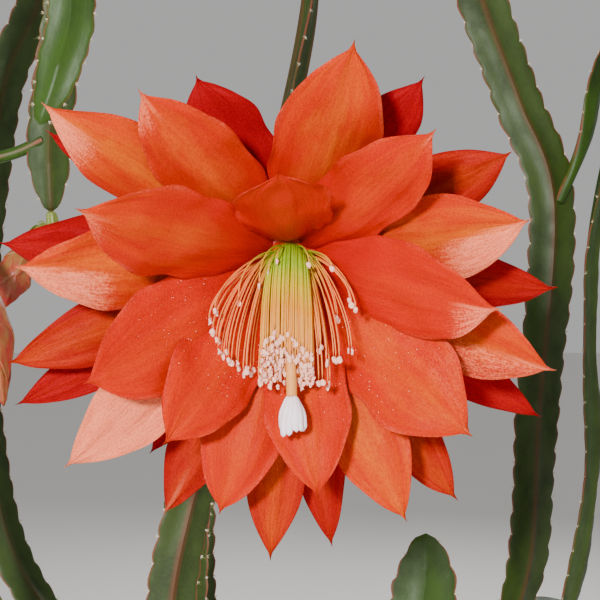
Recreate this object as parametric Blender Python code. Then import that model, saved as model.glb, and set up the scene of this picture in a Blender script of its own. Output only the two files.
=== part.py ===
# Potted epiphyllum: a flat-stemmed forest cactus in a plain clay pot, with one large open flower
# that nods towards the front, and two unopened buds.
# Tables and named sizes are in millimetres and degrees, and MM turns a length into metres.
# The origin is the middle of the pot's underside, +Z is up and the flower faces -Y.

from math import cos, hypot, pi, radians, sin
import random

import bmesh
import bpy
from mathutils import Matrix, Vector

MM = 0.001
GAP = 0.3

# Pot, a turned clay one with a collar and three drain holes
POT_HEIGHT = 146.0
POT_RIM_RADIUS = 86.0
POT_FOOT_RADIUS = 56.0
POT_WALL = 8.0
POT_FLOOR = 9.0
COLLAR_HEIGHT = 27.0
COLLAR_STEP = 6.0
DRAIN_HOLE_RADIUS = 6.0
DRAIN_CIRCLE_RADIUS = 30.0
DRAIN_HOLES = 3
POT_SIDES = 28
FOOT_ROUNDING = 2.0
RIM_ROUNDING = 2.5
DRAIN_HOLE_SIDES = 12

# Soil, with a plain hole round each stem
SOIL_EDGE = 126.0
SOIL_CROWN = 3.0
SOIL_LUMPS = 1.2
SOIL_RINGS = (0.82, 0.46)
STEM_FOOT = 100.0
STEM_HOLE_RADIUS = 3.8
STEM_HOLE_SIDES = 9

# Stems: a round woody foot that opens into two flat notched wings on a raised midrib
STEM_FOOT_RADIUS = 3.0
STEM_FOOT_PLACES = (0.0, 32.0, 48.0)
SHOOT_FOOT_RADIUS = 2.2
SHOOT_FOOT_PLACES = (0.0, 10.0)
WINGS_OPEN_WITHIN = 55.0
RIB_HALF_WIDTH = 2.1
RIB_HALF_THICKNESS = 2.3
WING_ROOT_HALF_THICKNESS = 1.25
WING_EDGE_HALF_THICKNESS = 0.5
NOTCH_DEPTH = 0.16
FIRST_NOTCHES = 0.3
LAST_NOTCH = 0.9
CREST_PLACE = 0.72
TIP_TAPER = 26.0
TIP_WIDTH = 0.22
TIP_ROUNDNESS = 2.2
TIP_THICKNESS = 0.45

# Flower: its throat, its nod below the horizontal, and the parts round its axis
THROAT = Vector((-2.7, -163.5, 335.8))
FLOWER_NOD = 20.0
FLOWER_HEIGHT_ON_STEM = 364.0
TUBE_SIDES = 12
TUBE_RUN_IN = 6.0
TUBE_PULL = 0.4
TUBE_OUTLINE = [(0.0, 2.2), (0.06, 2.8), (0.16, 4.2), (0.30, 5.0), (0.45, 4.6), (0.62, 4.6),
                (0.80, 5.2), (1.0, 6.2)]
RECEPTACLE = [(-18.0, 7.4), (-12.0, 8.5), (-5.0, 9.6), (0.0, 10.0)]
TUBE_RIM_RADIUS = 10.0
CUP_RIM_RADIUS = 7.6
CUP_FLOOR_RADIUS = 5.6
CUP_DEPTH = 18.0
SLEEVE_SIDES = 18
SLEEVE_LIP = 1.6
SLEEVE_LIP_RADIUS = 9.4
SLEEVE_CREST = 2.4
SLEEVE_CREST_RADIUS = 6.6
SLEEVE_BORE_RADIUS = 5.0
SLEEVE_FOOT_BORE_RADIUS = 3.9
TEPAL_THICKNESS = 0.8
TEPAL_MUCRO = 2.0
MUCRO_FROM = 0.9
TEPAL_WAVE = 0.6
TEPAL_WAVES = 9.0

# Stamens and style, as they hang in the nodding flower
FILAMENTS = 31
FILAMENT_RADIUS = 0.42
FILAMENT_SIDES = 3
FILAMENT_STEPS = (0.0, 0.25, 0.45, 0.68, 1.0)
FILAMENT_ROOT_SINK = 1.5
FILAMENT_ROOT_RADII = (2.3, 3.4)
FILAMENT_THROWS = (11.0, 15.0)
FAN_SWEEP = 105.0
FAN_HALF_WIDTH = 19.5
FAN_MIDDLE = -1.0
FAN_FORWARD = (23.5, 28.5)
FAN_DROP = 32.0
FAN_SIDE_LIFT = 19.0
FAN_RAGGED = 11.0
ANTHER_RADIUS = 0.95
ANTHER_LENGTH = 2.2
STAMEN_RING_LOW = -9.0
STAMEN_RING_HIGH = -1.0
STAMEN_RING_SIDES = 14
STYLE_RADIUS = 1.1
STYLE_SIDES = 6
STYLE_STEPS = 9
STYLE_ROUTE = [(0, 0, -17.6), (0, 0, -6), (0, -0.8, 4), (0, -5, 15), (0.2, -13.8, 25),
               (0.5, -26, 31)]
STIGMA_END = (1.0, -35.0, 35.0)
STIGMA_LOBES = 8
STIGMA_FLUTE = 0.14
STIGMA_OUTLINE = [(-0.12, 0.6), (0.0, 1.7), (0.25, 2.6), (0.65, 3.3), (0.95, 3.4), (1.0, 2.2)]

# Each stem: its name, its half-width, the spacing of its notches, and its route from foot to tip.
# A route point is x, y, z and the compass turn of its wings, where 0 lies along X.
STEMS = [
    ("stem_bearing_flower", 8.2, 17.0, [
        (-30, 20, 100, 150), (-30, 20, 134, 150), (-42, 14, 205, 140), (-30, 6, 300, 115),
        (-9, 1, 380, 97), (3, -3, 438, 88), (6, -24, 488, 50), (6, -55, 507, 5),
        (5, -86, 486, -40), (4, -99, 440, -75), (2, -101, 408, -90), (-8, -101, 362, -106),
        (-22, -100, 312, -130), (-36, -100, 256, -158), (-41, -100, 228, -168),
        (-46, -100, 182, -175)]),
    ("stem_hanging_left", 7.8, 14.0, [
        (-52, -8, 100, -60), (-52, -8, 134, -60), (-84, -10, 172, -55), (-117, -14, 222, -50),
        (-132, -22, 300, -42), (-134, -38, 385, -25), (-122, -62, 445, 15), (-100, -86, 470, 38),
        (-81, -98, 455, 25), (-72, -100, 420, 8), (-76, -100, 398, 0), (-82, -100, 380, 0)]),
    ("stem_arching_left", 8.5, 19.0, [
        (-44, 34, 100, 60), (-44, 34, 134, 60), (-84, 42, 175, 45), (-119, 44, 225, 35),
        (-131, 42, 310, 25), (-121, 37, 405, 18), (-106, 30, 441, 18), (-93, 6, 472, 20),
        (-86, -16, 462, 22), (-85, -24, 435, 20), (-91, -24, 388, 10), (-91, -22, 357, 5)]),
    ("stem_right", 10.5, 19.0, [
        (50, 4, 100, 60), (50, 4, 134, 60), (78, 2, 172, 60), (101, 0, 208, 60),
        (111, 0, 262, 62), (110, 0, 310, 65), (113, 2, 355, 70), (126, 6, 405, 85),
        (148, 14, 440, 100), (180, 24, 436, 105), (203, 30, 400, 105), (212, 33, 362, 105)]),
    ("stem_short", 13.0, 18.0, [
        (28, -24, 100, 10), (28, -24, 134, 10), (38, -18, 175, 5), (46, -12, 215, 0),
        (47, -10, 238, 0)]),
    ("stem_forked", 10.0, 19.0, [
        (40, 24, 100, 70), (40, 24, 134, 60), (66, 24, 168, 45), (88, 22, 215, 30),
        (93, 20, 280, 20), (99, 20, 362, 10), (86, 20, 402, 5), (74, 18, 434, 0),
        (60, 12, 474, -5), (50, 8, 500, -5)]),
    ("stem_back", 11.0, 19.0, [
        (-22, 46, 100, 20), (-22, 46, 134, 20), (-40, 52, 180, 15), (-46, 56, 215, 10),
        (-44, 68, 285, 0), (-38, 92, 345, -5), (-28, 124, 362, -8), (-20, 156, 338, -10),
        (-16, 172, 300, -10)]),
    ("stem_low_left", 9.5, 18.0, [
        (-60, 14, 100, 80), (-60, 14, 134, 80), (-92, 14, 168, 85), (-130, 10, 200, 90),
        (-170, 2, 228, 95), (-204, -8, 228, 98), (-230, -16, 205, 100), (-243, -20, 176, 100)]),
    ("stem_back_right", 9.5, 19.0, [
        (14, 48, 100, 160), (14, 48, 134, 155), (42, 62, 166, 150), (76, 84, 186, 148),
        (110, 108, 189, 146), (140, 130, 172, 145), (158, 144, 140, 145)]),
    ("stem_low_right", 9.0, 17.0, [
        (44, -42, 100, 45), (44, -42, 134, 45), (74, -64, 166, 48), (106, -90, 186, 51),
        (134, -112, 182, 52), (150, -124, 160, 52)]),
]

# Side shoots: the stem each one grows from, then the same columns as above
SHOOTS = [
    ("stem_forked", 8.0, 16.0, [
        (101, 20, 362, 40), (112, 22, 388, 45), (120, 30, 418, 60), (136, 46, 442, 75),
        (160, 58, 440, 80), (174, 64, 415, 80)]),
    ("stem_arching_left", 6.5, 15.0, [
        (-92, -24, 384, 90), (-106, -23, 378, 90), (-124, -22, 376, 90), (-146, -20, 386, 90),
        (-162, -18, 408, 90)]),
]

# Tepals of the open flower: clock angle, length, width, lean from the flower's axis, and the roll
# of the tip about the blade's own length
INNER_TEPALS = [
    (94, 55, 25, 42, 1), (52, 68, 22, 57, -6), (0, 66, 26, 52, 5), (323, 70, 29, 57, -5),
    (278, 66, 23, 54, -1), (230, 62, 25, 55, -5), (203, 67, 29, 58, -6), (152, 72, 25, 53, 7),
]
MIDDLE_TEPALS = [
    (76, 72, 27, 68, 7), (125, 70, 23, 67, 1), (141, 83, 21, 71, 0), (174, 76, 24, 68, 2),
    (219, 83, 22, 69, 2), (253, 72, 23, 66, 4), (296, 78, 21, 67, 0), (343, 78, 22, 68, 5),
    (18, 70, 24, 66, 1),
]
OUTER_TEPALS = [
    (115, 58, 22, 84, 0), (56, 63, 16, 84, 1), (30, 68, 19, 80, -1), (356, 73, 18, 82, 7),
    (327, 85, 15, 88, -4), (305, 83, 18, 80, 6), (278, 86, 15, 84, 4), (266, 86, 18, 78, 6),
    (244, 83, 18, 84, -3), (235, 71, 12, 88, 7), (208, 88, 15, 86, 6), (198, 82, 18, 80, 5),
    (175, 79, 19, 85, 2), (149, 75, 13, 83, -2),
]
# Each ring of tepals: the radius and height of its roots, the bow of its blades and their cup.
# The outer tepals take turns at three heights.
INNER_RING = (6.3, 1.2, 8.0, 2.2)
MIDDLE_RING = (8.0, 0.8, 8.0, 1.8)
OUTER_RINGS = [(8.7, height, 7.0, 1.6) for height in (-5.0, -8.0, -11.0)]
INNER_OUTLINE = [(0.0, 0.24), (0.13, 0.47), (0.34, 0.82), (0.56, 1.0), (0.74, 0.94),
                 (0.88, 0.60), (0.96, 0.20), (1.0, 0.035)]
OUTER_OUTLINE = [(0.0, 0.24), (0.16, 0.44), (0.38, 0.80), (0.60, 1.0), (0.76, 0.85),
                 (0.90, 0.44), (1.0, 0.035)]
TEPAL_COLUMNS = (-1.0, -0.5, 0.0, 0.5, 1.0)

# Buds: the stem and height where each sits, the side it leaves by, and its route from there
BUDS = [
    ("bud_front_left", "stem_hanging_left", 345.0, (0.7, -0.7, 0.0), [
        (-112, -58, 338), (-103, -74, 318), (-97, -80, 290)]),
    ("bud_behind_left", "stem_arching_left", 357.0, (0.0, 0.0, -1.0), [
        (-96, -23, 348), (-103, -24, 337), (-108, -25, 322)]),
]
BUD_OUTLINE = [(0.0, 1.6), (0.10, 2.2), (0.22, 3.2), (0.34, 2.7), (0.46, 3.0), (0.60, 4.8),
               (0.74, 5.6), (0.88, 3.8), (1.0, 0.4)]
BUD_SIDES = 10
BUD_FLUTE = 0.16
BUD_STALK = 6.0

# Materials: base colour, roughness
CLAY = ((0.56, 0.24, 0.13), 0.85)
PEAT = ((0.045, 0.028, 0.018), 0.95)
STEM_GREEN = ((0.13, 0.20, 0.05), 0.45)
OUTER_RED = ((0.70, 0.02, 0.01), 0.40)
INNER_ORANGE = ((0.85, 0.12, 0.03), 0.40)
FILAMENT_PEACH = ((0.85, 0.55, 0.28), 0.50)
STYLE_CREAM = ((0.92, 0.88, 0.76), 0.45)
BUD_RED = ((0.55, 0.05, 0.03), 0.45)


def clear_scene():
    for old in list(bpy.data.objects):
        bpy.data.objects.remove(old, do_unlink=True)


def make_material(name, look):
    colour, roughness = look
    material = bpy.data.materials.new(name)
    material.use_nodes = True
    shader = material.node_tree.nodes["Principled BSDF"]
    shader.inputs["Base Color"].default_value = (*colour, 1.0)
    shader.inputs["Roughness"].default_value = roughness
    shader.inputs["Metallic"].default_value = 0.0
    return material


def finish_mesh(mesh, material, crease=40.0):
    mesh.shade_smooth()
    mesh.set_sharp_from_angle(angle=radians(crease))
    mesh.materials.clear()
    if material:
        mesh.materials.append(material)


def add_object(name, bm, material=None, crease=40.0):
    """Make an object from a bmesh, with its faces turned outwards."""
    bmesh.ops.recalc_face_normals(bm, faces=bm.faces)
    mesh = bpy.data.meshes.new(name)
    bm.to_mesh(mesh)
    bm.free()
    finish_mesh(mesh, material, crease)
    obj = bpy.data.objects.new(name, mesh)
    bpy.context.scene.collection.objects.link(obj)
    return obj


def combine(base, others, operation, material):
    """Join the others to the base, or cut them from it, in one Boolean that is then applied."""
    group = bpy.data.collections.new(base.name + "_operands")
    bpy.context.scene.collection.children.link(group)
    for other in others:
        group.objects.link(other)
    boolean = base.modifiers.new("combine", "BOOLEAN")
    boolean.operation = operation
    boolean.operand_type = "COLLECTION"
    boolean.collection = group
    boolean.solver = "EXACT"
    depsgraph = bpy.context.evaluated_depsgraph_get()
    result = bpy.data.meshes.new_from_object(base.evaluated_get(depsgraph))
    base.modifiers.clear()
    base.data = result
    finish_mesh(result, material)
    for other in others:
        bpy.data.objects.remove(other, do_unlink=True)
    bpy.data.collections.remove(group)


def blend(start, end, share):
    return start + (end - start) * share


def ease(value):
    """Rise smoothly from 0 to 1 as the value goes from 0 to 1."""
    value = min(max(value, 0.0), 1.0)
    return value * value * (3 - 2 * value)


def bezier(corners, share):
    """A point on the Bezier curve of three or four corners."""
    while len(corners) > 1:
        corners = [first.lerp(second, share) for first, second in zip(corners, corners[1:])]
    return corners[0]


class Route:
    """A smooth line through hand-placed points, read by its length in millimetres."""

    STEPS = 12

    def __init__(self, points, upright_foot=False):
        knots = [Vector(point) for point in points]
        slopes = [(after - before) / 2 for before, after in zip(knots, knots[2:])]
        slopes = [knots[1] - knots[0]] + slopes + [knots[-1] - knots[-2]]
        if upright_foot:
            slopes[1] = slopes[0]
        self.samples = []
        for index in range(len(knots) - 1):
            for step in range(self.STEPS):
                self.samples.append(self.curve(knots, slopes, index, step / self.STEPS))
        self.samples.append(knots[-1])
        self.reach = [0.0]
        for first, second in zip(self.samples, self.samples[1:]):
            self.reach.append(self.reach[-1] + (second.xyz - first.xyz).length)
        self.length = self.reach[-1]

    @staticmethod
    def curve(knots, slopes, index, t):
        """Hermite curve from one knot to the next."""
        rest = 1 - t
        return (knots[index] * (1 + 2 * t) * rest * rest + slopes[index] * t * rest * rest
                + knots[index + 1] * t * t * (3 - 2 * t) - slopes[index + 1] * t * t * rest)

    def at(self, place):
        place = min(max(place, 0.0), self.length)
        index = 0
        while self.reach[index + 1] < place:
            index += 1
        span = self.reach[index + 1] - self.reach[index]
        return self.samples[index].lerp(self.samples[index + 1],
                                        (place - self.reach[index]) / span)

    def direction(self, place):
        return (self.at(place + 1.0).xyz - self.at(place - 1.0).xyz).normalized()


# Stems

def zip_chains(bm, first, second):
    """Fill the strip between two chains of (place, vertex) pairs with triangles."""
    i = 0
    j = 0
    while i < len(first) - 1 or j < len(second) - 1:
        first_done = i == len(first) - 1
        second_done = j == len(second) - 1
        if second_done or (not first_done and first[i + 1][0] <= second[j + 1][0]):
            bm.faces.new((first[i][1], first[i + 1][1], second[j][1]))
            i += 1
        else:
            bm.faces.new((first[i][1], second[j + 1][1], second[j][1]))
            j += 1


class Stem:
    """A flat stem or side shoot. Places along it are lengths from its foot."""

    def __init__(self, half_width, pitch, points, is_shoot=False):
        self.route = Route(points, upright_foot=not is_shoot)
        self.length = self.route.length
        self.half_width = half_width
        self.pitch = pitch
        self.foot_radius = SHOOT_FOOT_RADIUS if is_shoot else STEM_FOOT_RADIUS
        self.foot_places = SHOOT_FOOT_PLACES if is_shoot else STEM_FOOT_PLACES

    def opened(self, place):
        """How far the round foot has opened into wings, from 0 to 1."""
        return ease((place - self.foot_places[-1]) / WINGS_OPEN_WITHIN)

    def near_tip(self, place):
        """Falls from 1 to 0 over the last stretch before the tip."""
        return min(1.0, (self.length - place) / TIP_TAPER)

    def width(self, place):
        full = blend(self.foot_radius, self.half_width, self.opened(place))
        return full * blend(1.0, TIP_WIDTH, (1 - self.near_tip(place)) ** TIP_ROUNDNESS)

    def rib_side(self, place):
        return min(RIB_HALF_WIDTH, 0.7 * self.width(place))

    def rib_top(self, place):
        top = blend(self.foot_radius, RIB_HALF_THICKNESS, self.opened(place))
        return top * blend(TIP_THICKNESS, 1.0, self.near_tip(place))

    def rib_flank(self, place):
        flank = blend(0.72 * self.foot_radius, WING_ROOT_HALF_THICKNESS, self.opened(place))
        return flank * blend(TIP_THICKNESS, 1.0, self.near_tip(place))

    def edge(self, place):
        return blend(0.3 * self.foot_radius, WING_EDGE_HALF_THICKNESS, self.opened(place))

    def frame(self, place):
        """Centre, direction across the wings and direction of the flat side."""
        centre = self.route.at(place)
        along = self.route.direction(place)
        turn = radians(centre.w)
        across = Vector((cos(turn), sin(turn), 0.0))
        across = (across - along * across.dot(along)).normalized()
        return centre.xyz, across, along.cross(across)

    def margin(self, side):
        """Places and half-widths along one notched edge. The two edges' notches take turns."""
        outline = [(place, self.foot_radius) for place in self.foot_places]
        place = self.foot_places[-1] + self.pitch * (1.0 if side > 0 else 0.5)
        while place < self.length - LAST_NOTCH * self.pitch:
            notch = NOTCH_DEPTH * blend(FIRST_NOTCHES, 1.0, self.opened(place))
            outline.append((place, self.width(place) * (1 - notch)))
            crest = place + CREST_PLACE * self.pitch
            outline.append((crest, self.width(crest)))
            place += self.pitch
        outline.append((self.length, self.width(self.length)))
        return outline

    def stations(self):
        """Places where the midrib has its vertices."""
        places = list(self.foot_places)
        while places[-1] < self.length - 1.5 * self.pitch:
            places.append(places[-1] + self.pitch)
        return places + [self.length]

    def chain(self, bm, offsets):
        """Vertices from (place, across, up) offsets, as (place, vertex) pairs."""
        made = []
        for place, aside, above in offsets:
            centre, across, up = self.frame(place)
            vert = bm.verts.new((centre + across * aside + up * above) * MM)
            made.append((place, vert))
        return made

    def mesh(self):
        """One closed solid: three chains on each flat side and two along each edge."""
        bm = bmesh.new()
        edges = {}
        ribs = {}
        for face in (-1, 1):
            for side in (-1, 1):
                offsets = [(place, side * reach, face * self.edge(place))
                           for place, reach in self.margin(side)]
                edges[side, face] = self.chain(bm, offsets)
                offsets = [(place, side * self.rib_side(place), face * self.rib_flank(place))
                           for place in self.stations()]
                ribs[side, face] = self.chain(bm, offsets)
            offsets = [(place, 0.0, face * self.rib_top(place)) for place in self.stations()]
            ribs[0, face] = self.chain(bm, offsets)
        around = [edges[-1, 1], ribs[-1, 1], ribs[0, 1], ribs[1, 1], edges[1, 1],
                  edges[1, -1], ribs[1, -1], ribs[0, -1], ribs[-1, -1], edges[-1, -1]]
        for first, second in zip(around, around[1:] + around[:1]):
            zip_chains(bm, first, second)
        for end in (0, -1):
            cap = bm.faces.new([chain[end][1] for chain in around])
            bmesh.ops.poke(bm, faces=[cap])
        return bm

    def seat(self, height, leave_by):
        """The crest of a notched edge nearest a height, on the side that faces leave_by."""
        choices = []
        for side in (-1, 1):
            for place, reach in self.margin(side):
                centre, across, up = self.frame(place)
                outward = across * side
                is_crest = reach > 0.96 * self.width(place)
                if is_crest and outward.dot(leave_by) > 0.6:
                    spot = centre + outward * reach
                    choices.append((abs(spot.z - height), spot, outward))
        return min(choices, key=lambda choice: choice[0])[1:]


def named_stem(name):
    return next(Stem(*columns) for stem_name, *columns in STEMS if stem_name == name)


def build_stems():
    material = make_material("stem_green", STEM_GREEN)
    for name, *columns in STEMS:
        stem = add_object(name, Stem(*columns).mesh(), material)
        shoots = [add_object("shoot", Stem(*shoot_columns, is_shoot=True).mesh())
                  for parent, *shoot_columns in SHOOTS if parent == name]
        if shoots:
            combine(stem, shoots, "UNION", material)


# Pot and soil

def pot_inner_radius(height):
    low = POT_FOOT_RADIUS - POT_WALL + 2.0
    high = POT_RIM_RADIUS - POT_WALL
    return blend(low, high, (height - POT_FLOOR) / (POT_HEIGHT - POT_FLOOR))


def turned(profile, segments):
    """Spin a profile of (radius, height) points, whose ends lie on the axis, into a solid."""
    bm = bmesh.new()
    verts = [bm.verts.new((radius * MM, 0.0, height * MM)) for radius, height in profile]
    edges = [bm.edges.new(pair) for pair in zip(verts, verts[1:])]
    bmesh.ops.spin(bm, geom=verts + edges, cent=(0, 0, 0), axis=(0, 0, 1), angle=2 * pi,
                   steps=segments, use_merge=True)
    bmesh.ops.remove_doubles(bm, verts=bm.verts, dist=0.01 * MM)
    return bm


def drill(radius, low, high, x, y, sides):
    """An upright cylinder that cuts a plain hole."""
    bm = bmesh.new()
    bmesh.ops.create_cone(bm, cap_ends=True, segments=sides, radius1=radius * MM,
                          radius2=radius * MM, depth=(high - low) * MM)
    bmesh.ops.translate(bm, verts=bm.verts, vec=Vector((x, y, (low + high) / 2)) * MM)
    return add_object("drill", bm)


def build_pot():
    collar_low = POT_HEIGHT - COLLAR_HEIGHT
    profile = [
        (0.0, 0.0), (POT_FOOT_RADIUS - FOOT_ROUNDING, 0.0), (POT_FOOT_RADIUS, FOOT_ROUNDING),
        (POT_RIM_RADIUS - COLLAR_STEP - RIM_ROUNDING, collar_low),
        (POT_RIM_RADIUS - RIM_ROUNDING, collar_low + 0.6 * RIM_ROUNDING),
        (POT_RIM_RADIUS - 0.6 * RIM_ROUNDING, collar_low + 1.6 * RIM_ROUNDING),
        (POT_RIM_RADIUS, POT_HEIGHT - RIM_ROUNDING), (POT_RIM_RADIUS - RIM_ROUNDING, POT_HEIGHT),
        (POT_RIM_RADIUS - POT_WALL + RIM_ROUNDING, POT_HEIGHT),
        (pot_inner_radius(POT_HEIGHT - RIM_ROUNDING), POT_HEIGHT - RIM_ROUNDING),
        (pot_inner_radius(POT_FLOOR), POT_FLOOR), (0.0, POT_FLOOR),
    ]
    material = make_material("clay", CLAY)
    pot = add_object("pot", turned(profile, POT_SIDES), material)
    drills = []
    for index in range(DRAIN_HOLES):
        turn = 2 * pi * index / DRAIN_HOLES + pi / 2
        drills.append(drill(DRAIN_HOLE_RADIUS, -POT_FLOOR, 2 * POT_FLOOR,
                            DRAIN_CIRCLE_RADIUS * cos(turn), DRAIN_CIRCLE_RADIUS * sin(turn),
                            DRAIN_HOLE_SIDES))
    combine(pot, drills, "DIFFERENCE", material)


def build_soil():
    floor = POT_FLOOR + GAP
    edge_radius = pot_inner_radius(SOIL_EDGE) - GAP
    profile = [(0.0, floor), (pot_inner_radius(floor) - GAP, floor), (edge_radius, SOIL_EDGE)]
    for share in SOIL_RINGS:
        profile.append((edge_radius * share, SOIL_EDGE + SOIL_CROWN * (1 - share)))
    profile.append((0.0, SOIL_EDGE + SOIL_CROWN))
    bm = turned(profile, POT_SIDES)
    dice = random.Random(5)
    for vert in bm.verts:
        is_on_edge = hypot(vert.co.x, vert.co.y) > (edge_radius - 1.0) * MM
        if vert.co.z > (SOIL_EDGE - 1.0) * MM and not is_on_edge:
            vert.co.z += dice.uniform(-SOIL_LUMPS, SOIL_LUMPS) * MM
    material = make_material("peat", PEAT)
    soil = add_object("soil", bm, material)
    drills = []
    for name, half_width, pitch, points in STEMS:
        drills.append(drill(STEM_HOLE_RADIUS, STEM_FOOT - GAP, POT_HEIGHT, *points[0][:2],
                            STEM_HOLE_SIDES))
    combine(soil, drills, "DIFFERENCE", material)


# Flower. Its own frame has +Z along the axis, out of the throat, and +Y up the face.

def flower_matrix():
    return Matrix.Translation(THROAT) @ Matrix.Rotation(radians(90.0 + FLOWER_NOD), 4, "X")


def place_flower_part(obj):
    obj.location = THROAT * MM
    obj.rotation_euler = (radians(90.0 + FLOWER_NOD), 0.0, 0.0)


def ring(bm, centre, first_axis, second_axis, radii):
    """A closed loop of vertices, one for each radius, round a centre."""
    verts = []
    for index, radius in enumerate(radii):
        turn = 2 * pi * index / len(radii)
        offset = (first_axis * cos(turn) + second_axis * sin(turn)) * radius
        verts.append(bm.verts.new((centre + offset) * MM))
    return verts


def bridge(bm, rings, is_loop=False):
    """Join each ring to the next, and cap both ends unless the last meets the first."""
    followers = rings[1:] + rings[:1] if is_loop else rings[1:]
    for first, second in zip(rings, followers):
        for index in range(len(first)):
            after = (index + 1) % len(first)
            bm.faces.new((first[index], first[after], second[after], second[index]))
    if not is_loop:
        bm.faces.new(rings[0])
        bm.faces.new(rings[-1])


def pipe_rings(bm, stations, sides, flute=0.0):
    """Rings along (centre, radius) stations, turned as little as possible from one to the next."""
    centres = [centre for centre, radius in stations]
    aside = Vector((1, 0, 0))
    rings = []
    for index, (centre, radius) in enumerate(stations):
        before = centres[max(index - 1, 0)]
        after = centres[min(index + 1, len(centres) - 1)]
        along = (after - before).normalized()
        aside = (aside - along * aside.dot(along)).normalized()
        radii = [radius * (1 + flute * (-1) ** corner) for corner in range(sides)]
        rings.append(ring(bm, centre, aside, along.cross(aside), radii))
    return rings


def axis_ring(bm, height, radius, sides):
    """A ring round the flower's own axis."""
    return ring(bm, Vector((0, 0, height)), Vector((1, 0, 0)), Vector((0, 1, 0)),
                [radius] * sides)


def tube_mesh(spot, outward):
    """Floral tube from its seat on the stem to its rim, with the cup that holds the flower."""
    inverse = flower_matrix().inverted()
    leave = (inverse.to_3x3() @ outward).normalized()
    start = inverse @ spot + leave * GAP
    straight = Vector((0.0, 0.0, -(CUP_DEPTH + TUBE_RUN_IN)))
    pull = (start - straight).length * TUBE_PULL
    corners = [start, start + leave * pull, straight - Vector((0, 0, pull)), straight]
    bm = bmesh.new()
    stations = [(bezier(corners, share), radius) for share, radius in TUBE_OUTLINE]
    rings = pipe_rings(bm, stations, TUBE_SIDES)
    for height, radius in RECEPTACLE:
        rings.append(axis_ring(bm, height, radius, TUBE_SIDES))
    rings.append(axis_ring(bm, 0.0, CUP_RIM_RADIUS, TUBE_SIDES))
    rings.append(axis_ring(bm, -CUP_DEPTH, CUP_FLOOR_RADIUS, TUBE_SIDES))
    bridge(bm, rings)
    return bm


def sleeve_mesh():
    """Ring inside the cup, with a lip over its rim, that the orange tepals grow from."""
    profile = [
        (CUP_FLOOR_RADIUS - 2 * GAP, -CUP_DEPTH + GAP), (CUP_RIM_RADIUS - 2 * GAP, GAP),
        (SLEEVE_LIP_RADIUS, GAP), (SLEEVE_LIP_RADIUS - GAP, SLEEVE_LIP),
        (SLEEVE_CREST_RADIUS, SLEEVE_CREST), (SLEEVE_BORE_RADIUS, SLEEVE_LIP),
        (SLEEVE_FOOT_BORE_RADIUS, -CUP_DEPTH + GAP),
    ]
    bm = bmesh.new()
    rings = [axis_ring(bm, height, radius, SLEEVE_SIDES) for radius, height in profile]
    bridge(bm, rings, is_loop=True)
    return bm


def tepal_rows(bm, outline, corners, half_width, sideways, roll, cup, phase, face):
    """Rows of vertices over one face of a blade, from its foot to its sharp tip."""
    rows = []
    for share, fullness in outline:
        along = (bezier(corners[1:], share) - bezier(corners[:-1], share)).normalized()
        across = Matrix.Rotation(roll * share, 3, along) @ sideways
        front = along.cross(across)
        point_rise = max(0.0, (share - MUCRO_FROM) / (1 - MUCRO_FROM)) ** 2
        centre = bezier(corners, share) + front * TEPAL_MUCRO * point_rise
        row = []
        for column in TEPAL_COLUMNS:
            lift = cup * abs(column) ** 1.5 * fullness
            wave = TEPAL_WAVE * sin(TEPAL_WAVES * share + 2 * column + phase)
            lift += wave * abs(column) * 4 * share * (1 - share)
            point = (centre + across * half_width * fullness * column
                     + front * (lift + face * TEPAL_THICKNESS / 2))
            row.append(bm.verts.new(point * MM))
        rows.append(row)
    return rows


def fill_rows(bm, rows):
    """Triangles over a grid of rows, slanted the same way out from the middle column."""
    middle = len(rows[0]) // 2
    for near, far in zip(rows, rows[1:]):
        for j in range(len(near) - 1):
            if j < middle:
                bm.faces.new((near[j], near[j + 1], far[j + 1]))
                bm.faces.new((near[j], far[j + 1], far[j]))
            else:
                bm.faces.new((near[j], near[j + 1], far[j]))
                bm.faces.new((near[j + 1], far[j + 1], far[j]))


def rim_of(rows):
    """The border of a grid of rows, as one loop."""
    sides = [row[-1] for row in rows[1:-1]]
    back = [row[0] for row in reversed(rows[1:-1])]
    return rows[0] + sides + rows[-1][::-1] + back


def tepal_mesh(clock, length, width, lean, roll, outline, ring_shape):
    """A thin cupped blade from its root out along its lean."""
    root_radius, root_height, bow, cup = ring_shape
    turn = radians(clock)
    outward = Vector((cos(turn), sin(turn), 0.0))
    sideways = Vector((sin(turn), -cos(turn), 0.0))
    axis = Vector((0.0, 0.0, 1.0))
    tilt = radians(lean)
    rise = radians(lean - bow)
    corners = [outward * root_radius + axis * root_height,
               (outward * sin(rise) + axis * cos(rise)) * 0.5 * length,
               (outward * sin(tilt) + axis * cos(tilt)) * length]
    bm = bmesh.new()
    grids = []
    for face in (-1, 1):
        grids.append(tepal_rows(bm, outline, corners, width / 2, sideways, radians(roll), cup,
                                TEPAL_WAVES * turn, face))
        fill_rows(bm, grids[-1])
    rims = [rim_of(rows) for rows in grids]
    for index in range(len(rims[0])):
        after = (index + 1) % len(rims[0])
        bm.faces.new((rims[0][index], rims[0][after], rims[1][after], rims[1][index]))
    return bm


def add_tepals(table, outline, ring_shapes):
    """One blade for each line of a table. The ring shapes take turns."""
    return [add_object("tepal", tepal_mesh(*columns, outline,
                                           ring_shapes[index % len(ring_shapes)]))
            for index, columns in enumerate(table)]


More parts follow.
